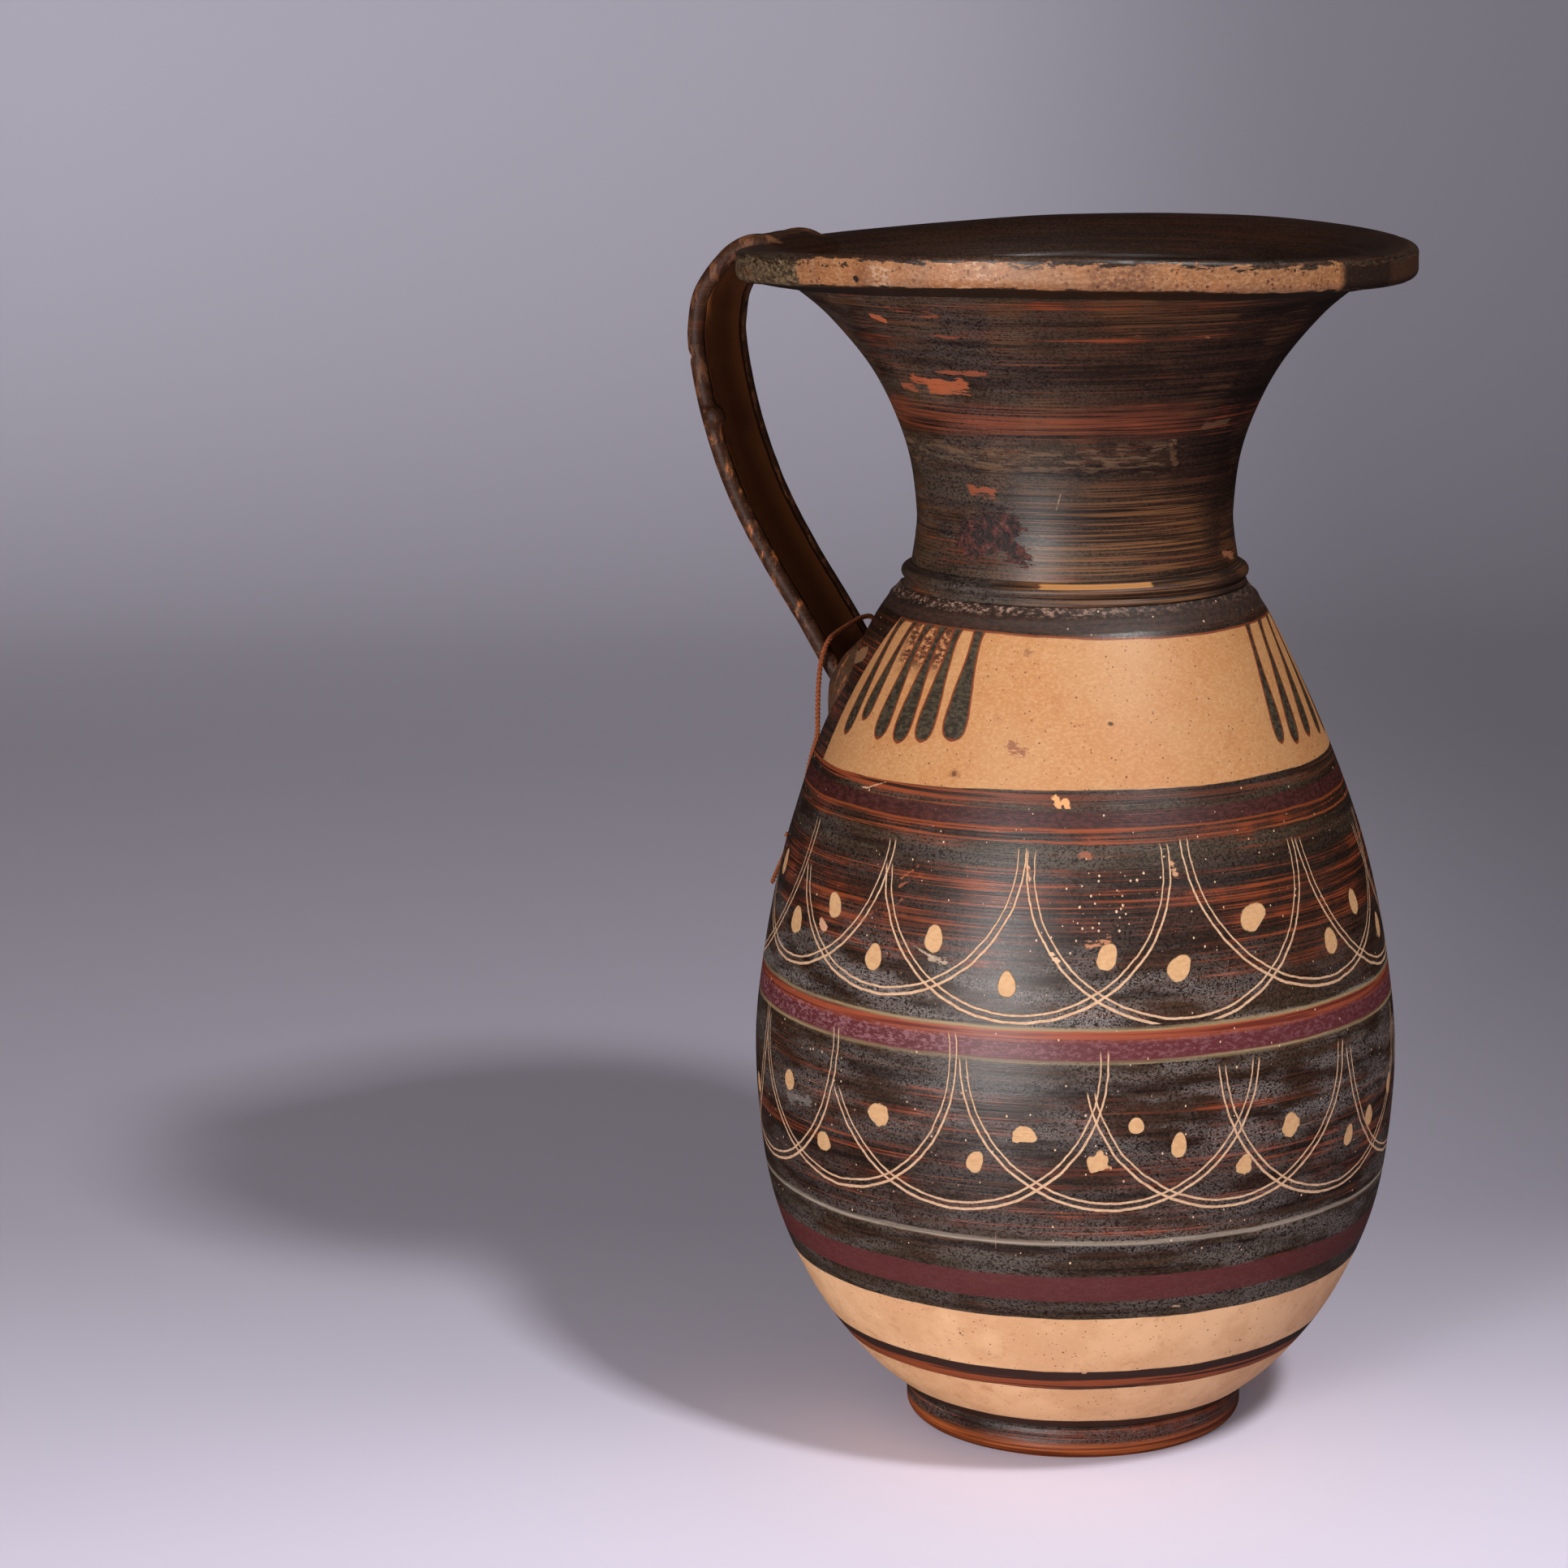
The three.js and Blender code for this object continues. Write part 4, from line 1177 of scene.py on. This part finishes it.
# %% Finish the neck and its collar
NECK_MARKS = [
    (-117.2, 285.6, -114.2, 284.9, 1.1, 3.0, 0.9, shade(168, 86, 46)),
    (-117.5, 270.0, -108.0, 268.8, 1.3, 7.0, 0.9, shade(156, 76, 38)),
    (-111.0, 268.4, -100.0, 269.2, 2.0, 8.0, 0.9, shade(160, 80, 40)),
    (-108.0, 272.6, -91.0, 272.6, 0.5, 5.0, 0.8, shade(144, 68, 36)),
    (-125.0, 268.0, -119.5, 267.6, 0.9, 5.0, 0.8, shade(150, 74, 38)),
    (-105.2, 243.2, -96.4, 243.0, 1.1, 5.0, 0.9, shade(140, 68, 34)),
    (-54.6, 281.2, -49.0, 285.0, 0.16, 1.2, 0.9, shade(176, 104, 64)),
    (-75.8, 287.4, -71.8, 290.3, 0.1, 1.0, 0.8, shade(150, 106, 66)),
    (-22.0, 258.2, -11.5, 258.8, 1.0, 5.0, 0.55, shade(124, 88, 54)),
    (-73.4, 239.2, -71.8, 243.0, 0.14, 0.8, 0.8, shade(160, 130, 98)),
    (-109.0, 287.8, -98.0, 286.4, 0.5, 9.0, 0.7, shade(140, 66, 34)),
    (-106.0, 282.4, -96.0, 281.0, 0.4, 9.0, 0.7, shade(140, 66, 34)),
    (-96.0, 285.2, -88.0, 284.8, 0.2, 5.0, 0.7, shade(140, 66, 34)),
    (-2, 225.4, 8, 223.8, 0.5, 8.0, 0.8, shade(150, 92, 56)),
    (-35.0, 254.8, -31.4, 249.6, 0.35, 7.0, 0.4, shade(130, 92, 58)),
    (-105.6, 240.6, -103.8, 234.4, 0.1, 1.0, 0.6, shade(130, 120, 108)),
    (-35.5, 281.4, -34.6, 281.2, 0.35, 2.0, 0.8, shade(150, 92, 62)),
    (-40.6, 254.4, -33.0, 254.8, 0.2, 5.0, 0.6, shade(120, 88, 56)),
]


def neck_finish(name, thin, film, marks):
    material, r, shader, spot = finish(name)
    place, turn, height = spot["Place"], spot["Turn"], spot["Height"]
    cloud = r.minus(r.noise(place, 0.05, 3.0), 0.5)
    level = r.plus(height, r.times(cloud, 3.0))
    belt = r.times(r.step(level, 255.2, 258.5), r.step(level, 266.0, 262.0))
    # Lime film and olive lie only on the left; the darker right side this leaves is painted shade
    left = r.step(turn, -55.0, -95.0)
    upper = r.times(r.step(level, 264.0, 272.0), r.step(turn, -20.0, -80.0))
    lean = r.plus(r.times(belt, 0.36), r.times(upper, 0.2))
    slip = r.place(SLIP, {
        "Place": place, "Thin": r.plus(lean, thin), "Film": r.times(left, film),
        "Olive": r.times(r.step(turn, -20.0, -80.0), r.mixed(belt, 0.6, 0.0)),
    })
    colour, rough, bump = slip["Colour"], slip["Roughness"], slip["Height"]
    ragged = r.minus(r.noise(r.stretched(place, 0.16, 0.16, 1.0), 1.0, 4.0, 0.7), 0.5)
    # Level hairlines from the wheel: rusty in the belt, ochre near the neck's foot
    hair = r.noise(r.stretched(place, 0.03, 0.03, 2.6), 1.0, 2.0, 0.5)
    worn_lines = r.times(r.step(hair, 0.4, 0.56), r.times(belt, r.step(turn, -15.0, -45.0)))
    colour = r.mix(r.times(worn_lines, 0.6), colour, shade(134, 64, 32))
    golden = r.times(r.step(level, 250.0, 236.0), r.step(r.absolute(r.plus(turn, 50.0)), 45.0, 25.0))
    ochre = r.times(r.step(hair, 0.46, 0.6), r.mixed(golden, r.step(cloud, -0.04, 0.1), 1.0))
    colour = r.mix(r.times(ochre, r.mixed(golden, 0.35, 0.7)), colour, shade(122, 78, 42))
    # Tan mottling just under the belt
    tan = r.times(r.step(level, 246.0, 250.0), r.step(level, 257.0, 253.0))
    tan = r.times(r.times(tan, r.step(turn, -22.0, -40.0)), r.step(ragged, -0.02, 0.1))
    colour = r.mix(r.times(tan, 0.5), colour, shade(126, 96, 68))

    def mark_mask(turn_from, low, turn_to, high, width, spread):
        start, end = pot_point(turn_from, low, NECK_LINE), pot_point(turn_to, high, NECK_LINE)
        return scratch(r, place, start, end, width, r.times(ragged, spread))

    for *where, strength, tint in marks:
        mark = mark_mask(*where)
        colour, rough = r.mix(r.times(mark, strength), colour, tint), r.mixed(mark, rough, 0.6)
    if marks:
        # A blistered dark red scar near the foot of the neck
        sore = r.most(mark_mask(-106, 230.5, -92, 234.0, 4.2, 14.0), mark_mask(-93, 231.0, -86, 227.8, 2.2, 12.0))
        crust = r.noise(place, 0.5, 5.0, 0.78)
        scab = r.mix(r.step(crust, 0.46, 0.6), shade(28, 13, 11), shade(92, 38, 27))
        scab = r.mix(r.step(crust, 0.62, 0.72), scab, shade(140, 112, 100))
        colour = r.mix(r.times(sore, 0.92), colour, scab)
        bump = r.plus(bump, r.times(sore, r.times(crust, 6.0)))
    else:
        # The bead's upper edge is rubbed to the clay along the front
        rubbed = r.times(r.step(height, 220.3, 220.55), r.step(height, 221.6, 221.3))
        reach = r.plus(r.absolute(r.plus(turn, 60.0)), r.times(ragged, 8.0))
        rubbed = r.times(rubbed, r.step(reach, 19.5, 18.0))
        colour, rough = r.mix(r.times(rubbed, 0.95), colour, shade(186, 128, 72)), r.mixed(rubbed, rough, 0.55)
    r.feed(shader.inputs["Base Color"], colour)
    r.feed(shader.inputs["Roughness"], r.plus(rough, 0.04 if marks else 0.12))
    bumped(r, shader, bump, 0.55, 0.2)
    return material


neck.data.materials.append(neck_finish("Neck slip", 0.14, 0.16, NECK_MARKS))
collar.data.materials.append(neck_finish("Collar slip", 0.24, 0.25, []))

# %% Finish the foot
material, r, shader, spot = finish("Foot, thin slip")
slip = r.place(SLIP, {"Place": spot["Place"], "Thin": 0.5, "Film": 0.4, "Olive": 0.0})
rust = r.noise(r.stretched(spot["Place"], 0.02, 0.02, 1.4), 1.0, 3.0, 0.6)
orange = r.mix(r.step(rust, 0.4, 0.62), shade(98, 40, 16), shade(176, 90, 40))
low = r.step(r.plus(spot["Height"], r.times(r.minus(rust, 0.5), 3.0)), 5.4, 3.6)
colour = r.mix(low, slip["Colour"], orange)
r.feed(shader.inputs["Base Color"], colour)
r.feed(shader.inputs["Roughness"], slip["Roughness"])
bumped(r, shader, r.plus(slip["Height"], rust), 0.5, 0.25)
foot.data.materials.append(material)
print("foot nodes:", len(material.node_tree.nodes))

# %% Finish the lip
material, r, shader, spot = finish("Lip")
place, turn, out = spot["Place"], spot["Turn"], spot["Out"]
sag = r.times(r.math("COSINE", r.times(r.minus(r.math("RADIANS", turn), SAG_TURN), 2.0)), 1.75)
level = r.plus(spot["Height"], sag)
ragged = r.minus(r.noise(r.stretched(place, 0.14, 0.14, 0.5), 1.0, 4.0, 0.7), 0.5)
slip = r.place(SLIP, {
    "Place": place, "Thin": 0.2, "Film": 0.05, "Olive": r.times(r.step(out, 80.0, 83.0), 0.6), "Streak": 0.6,
})
clay = r.place(CLAY, {"Place": place, "Specks": 1.0, "Tint": shade(132, 86, 52)})
face = r.times(r.step(out, 81.6, 82.4), r.times(
    r.step(r.plus(level, r.times(ragged, 3.0)), 293.4, 293.8),
    r.step(r.plus(level, r.times(ragged, 8.0)), 299.6, 299.2),
))
# Bare clay all round except beside the handle, where both painted ends stop at a clean edge
fold = r.times(r.absolute(turn), -1)
bare = r.times(face, r.step(r.plus(fold, r.times(ragged, 2.0)), -118.5, -118.1))
dark = r.mix(r.times(r.step(out, 82.0, 80.0), 0.6), slip["Colour"], shade(32, 15, 7))
colour = r.mix(bare, dark, clay["Colour"])
rough, bump = r.mixed(bare, slip["Roughness"], clay["Roughness"]), r.mixed(bare, slip["Height"], clay["Height"])
# Brown rubbing, a dark smudge with brown beyond it, and pale scratches on the painted end
rub = r.noise(r.stretched(place, 0.5, 0.5, 0.8), 1.0, 4.0, 0.8)
LIP_RUBS = [
    (-102.6, 2.0, 0.4, 0.7, shade(116, 66, 32)),
    (-99.5, 2.6, 0.48, 0.6, shade(190, 160, 132)),
    (-94, 3.5, 0.5, 0.45, shade(132, 104, 82)),
    (-83, 5, 0.52, 0.4, shade(222, 184, 146)),
    (-60, 5, 0.46, 0.75, shade(98, 58, 38)),
    (-44, 4, 0.52, 0.55, shade(146, 98, 66)),
    (-11.5, 8, 0.2, 0.97, shade(30, 14, 8)),
    (6, 11, 0.28, 0.92, shade(52, 28, 16)),
    (-136, 18, 0.44, 0.6, shade(126, 104, 74)),
    (-136, 18, 0.56, 0.6, shade(170, 136, 106)),
]
for middle, half, low, strength, tint in LIP_RUBS:
    near = r.step(r.absolute(r.minus(turn, float(middle))), half + 1.0, half - 1.5)
    patch = r.times(r.times(near, r.step(rub, low, low + 0.08)), face)
    colour = r.mix(r.times(patch, strength), colour, tint)
LIP_PITS = [(-104.3, 296.9, 0.62), (-76, 295.2, 0.3), (-30, 298.0, 0.3), (60, 297.0, 0.5), (108, 296.0, 0.4)]
PIT_RADIUS = 83.6
for pit_turn, pit_height, size in LIP_PITS:
    across, ahead = math.cos(math.radians(pit_turn)), math.sin(math.radians(pit_turn))
    pit_at = Vector((PIT_RADIUS * across, PIT_RADIUS * ahead, pit_height))
    pit = scratch(r, place, pit_at, pit_at + Vector((0.2, 0, -0.3)), size, r.times(ragged, 1.5))
    colour = r.mix(pit, colour, shade(30, 15, 9))
    bump = r.minus(bump, r.times(pit, 5.0))
r.feed(shader.inputs["Base Color"], colour)
r.feed(shader.inputs["Roughness"], rough)
bumped(r, shader, bump, 0.6, 0.25)
lip.data.materials.append(material)
print("lip nodes:", len(material.node_tree.nodes))

# %% [markdown]
# ## Finishing the handle and the string
#
# The handle's slip is rubbed along the coils, where hands held it, and worn to the clay in
# a strip on its inner face. The pads carry pale lime. The thread is matt, with fine fibres.

# %% Finish the handle
def handle_finish(name, thin, film, strip=False, rubbed=0.0, matt=0.14, wash=(0.0, shade(32, 15, 7))):
    material, r, shader, spot = finish(name)
    place = spot["Place"]
    slip = r.place(SLIP, {"Place": place, "Thin": thin, "Film": film, "Olive": 0.1, "Streak": 0.35})
    colour, rough, bump = slip["Colour"], slip["Roughness"], slip["Height"]
    x, y, z = r.parts(place)
    rub = r.noise(r.stretched(place, 0.35, 0.35, 0.14), 1.0, 4.0, 0.72)
    if strip:
        # The hollow face is dark brown, lighter towards the near coil and darker towards the far one, with an
        # orange worn strip beside the near coil
        inner = r.times(r.step(z, 298.0, 290.0), 0.85)
        colour = r.mix(inner, colour, r.mix(r.step(y, 4.0, -8.0), shade(112, 62, 28), shade(160, 96, 44)))
        near = r.times(r.step(y, -4.0, -7.0), r.step(rub, 0.34, 0.5))
        near = r.times(r.times(near, inner), r.spread(z, 235.0, 258.0, 0.25, 0.95))
        colour = r.mix(near, colour, r.mix(r.step(rub, 0.45, 0.6), shade(120, 64, 26), shade(160, 92, 42)))
    if rubbed:
        colour = r.mix(r.times(r.step(rub, 0.5, 0.62), rubbed), colour, shade(146, 96, 64))
        sliver = r.times(r.step(rub, 0.6, 0.64), r.step(z, 262.0, 245.0))
        colour = r.mix(r.times(sliver, rubbed * 2), colour, shade(196, 112, 58))
    r.feed(shader.inputs["Base Color"], r.mix(wash[0], colour, wash[1]))
    r.feed(shader.inputs["Roughness"], r.plus(rough, matt))
    r.feed(shader.inputs["Specular IOR Level"], 0.25)
    bumped(r, shader, r.plus(bump, rub), 0.5, 0.25)
    return material


strap.data.materials.append(handle_finish("Strap slip", 0.1, 0.02, strip=True))
coil_slip = handle_finish("Coil slip", 0.3, 0.0, rubbed=0.5, wash=(0.25, shade(84, 46, 26)))
coil_near.data.materials.append(coil_slip)
coil_far.data.materials.append(coil_slip)
pad_slip = handle_finish("Pad slip", 0.35, 0.2, rubbed=0.55, wash=(0.35, shade(112, 76, 50)))
root_pad.data.materials.append(pad_slip)
lip_pad.data.materials.append(handle_finish("Lip pad slip", 0.1, 0.0, matt=0.0, wash=(0.6, shade(32, 15, 7))))
print("finishes so far:", len(bpy.data.materials))

# %% Finish the thread
material, r, shader, spot = finish("Orange thread")
fibre = r.noise(r.stretched(spot["Place"], 5.0, 5.0, 2.0), 1.0, 3.0, 0.7)
dirt = r.noise(spot["Place"], 0.4, 2.0)
colour = r.mix(r.step(fibre, 0.35, 0.65), shade(104, 44, 8), shade(176, 86, 26))
colour = r.mix(r.times(r.step(dirt, 0.5, 0.7), 0.3), colour, shade(110, 62, 30))
r.feed(shader.inputs["Base Color"], colour)
r.feed(shader.inputs["Roughness"], r.spread(fibre, 0.3, 0.7, 0.75, 0.9))
shader.inputs["Sheen Weight"].default_value = 0.08
bumped(r, shader, fibre, 0.6, 0.15)
for piece in (string, knot):
    piece.data.materials.append(material)
print("thread nodes:", len(material.node_tree.nodes))

# %% [markdown]
# ## The studio
#
# The jug stands on a sheet of pale lavender-grey card that curves up behind it. Its colour
# carries painted light and shade: brightest just in front, darkest far behind the jug, lighter
# again up the back, with painted shade over its right-hand part. A small lamp at the front
# right throws the shadow back and to the left, and a tall soft box at the front left draws
# the long highlight down the neck and the belly.

# %% Lay the card
card_profile = [(-4.0, 0), (-1.0, 0), (0, 0), (0.6, 0), (1.2, 0)] + [
    (1.2 + 0.6 * math.sin(a), 0.6 - 0.6 * math.cos(a)) for a in (math.pi / 2 * k / 12 for k in range(1, 13))
] + [(1.8, 1.2), (1.8, 4.0)]
points, faces = [], []
for depth, rise in card_profile:
    for side in (-4, -2, 0, 2, 4):
        points.append(LEVEL_LOOK * depth + LEVEL_RIGHT * side + Vector((0, 0, rise)))
for k in range(len(card_profile) - 1):
    for j in range(4):
        a = 5 * k + j
        faces.append((a, a + 1, a + 6, a + 5))
mesh = bpy.data.meshes.new("card")
mesh.from_pydata(points, [], faces)
mesh.shade_smooth()
card = bpy.data.objects.new("card", mesh)
bpy.context.collection.objects.link(card)

material = bpy.data.materials.new("Pale card")
material.use_nodes = True
r = Recipe(material.node_tree)
shader = material.node_tree.nodes["Principled BSDF"]
where = r.put("ShaderNodeTexCoord", {}, 3)
depth = r.vector("DOT_PRODUCT", where, tuple(LEVEL_LOOK), out=1)
side = r.vector("DOT_PRODUCT", where, tuple(LEVEL_RIGHT), out=1)
rise = r.parts(where)[2]
along = r.plus(depth, rise)
# Painted light and shade by distance: bright in front, darkest far behind the jug, lighter up the back
tone = r.ramp(r.spread(along, -0.5, 3.5, 0.0, 1.0), [
    (0.0, shade(240, 232, 252)), (0.1, shade(240, 232, 252)),
    (0.13, shade(220, 213, 232)), (0.165, shade(194, 189, 206)),
    (0.36, shade(191, 187, 201)), (0.55, shade(200, 197, 212)),
    (0.7, shade(206, 203, 218)), (1.0, shade(206, 203, 218)),
])
# Painted shade over the right-hand part of the card behind the jug
right_painted_shade = r.times(r.step(side, -0.02, 0.3), r.step(along, -0.02, 0.22))
tone = r.mix(r.times(right_painted_shade, 0.5), tone, shade(32, 30, 44))
# It glows a little for the camera alone, most on the left of its upright part, and lights nothing
glow = r.times(r.step(along, 0.8, 2.1), r.spread(side, -0.55, 0.45, 0.2, 0.04))
# A painted pool of light on the card just in front of the jug
front = r.times(r.step(r.vector("LENGTH", where, out=1), 0.32, 0.12), r.step(along, 0.03, -0.06))
glow = r.plus(glow, r.times(front, 0.07))
glow = r.mix(r.plus(glow, 0.045), shade(0, 0, 0), shade(238, 234, 255))
r.feed(shader.inputs["Emission Color"], glow)
r.feed(shader.inputs["Emission Strength"], r.put("ShaderNodeLightPath", {}, "Is Camera Ray"))
# The jug's gloss doesn't mirror the card, which ends close in front of a real table
gloss = r.put("ShaderNodeLightPath", {}, "Is Glossy Ray")
tone = r.mix(r.times(gloss, 0.93), tone, shade(30, 24, 20))
r.feed(shader.inputs["Base Color"], tone)
r.feed(shader.inputs["Roughness"], r.spread(r.noise(where, 300.0, 2.0), 0.3, 0.7, 0.85, 0.95))
card.data.materials.append(material)
print("card corners:", len(points))


# %% Light the jug
LAMP_AIM = Vector((0, 0, 0.15))


def lamp(name, turn, lift, distance, width, height, power):
    """An area lamp: turn is degrees to the right of the camera, lift is degrees up."""
    flat = -LEVEL_LOOK * math.cos(math.radians(turn)) + LEVEL_RIGHT * math.sin(math.radians(turn))
    up = math.radians(lift)
    spot = LAMP_AIM + distance * (flat * math.cos(up) + Vector((0, 0, math.sin(up))))
    light = bpy.data.lights.new(name, "AREA")
    light.shape = "RECTANGLE"
    light.size, light.size_y, light.energy = width, height, power
    holder = bpy.data.objects.new(name, light)
    holder.location = spot
    holder.rotation_mode = "QUATERNION"
    holder.rotation_quaternion = (LAMP_AIM - spot).to_track_quat("-Z", "Y")
    bpy.context.collection.objects.link(holder)


lamp("Small key", 34, 51, 1.2, 0.13, 0.13, 8.8)
lamp("Tall soft box", -30, 6, 1.15, 0.26, 0.52, 9.6)
world = bpy.data.worlds.new("Room")
world.use_nodes = True
world.node_tree.nodes["Background"].inputs[0].default_value = shade(200, 187, 176)
world.node_tree.nodes["Background"].inputs[1].default_value = 0.2
bpy.context.scene.world = world
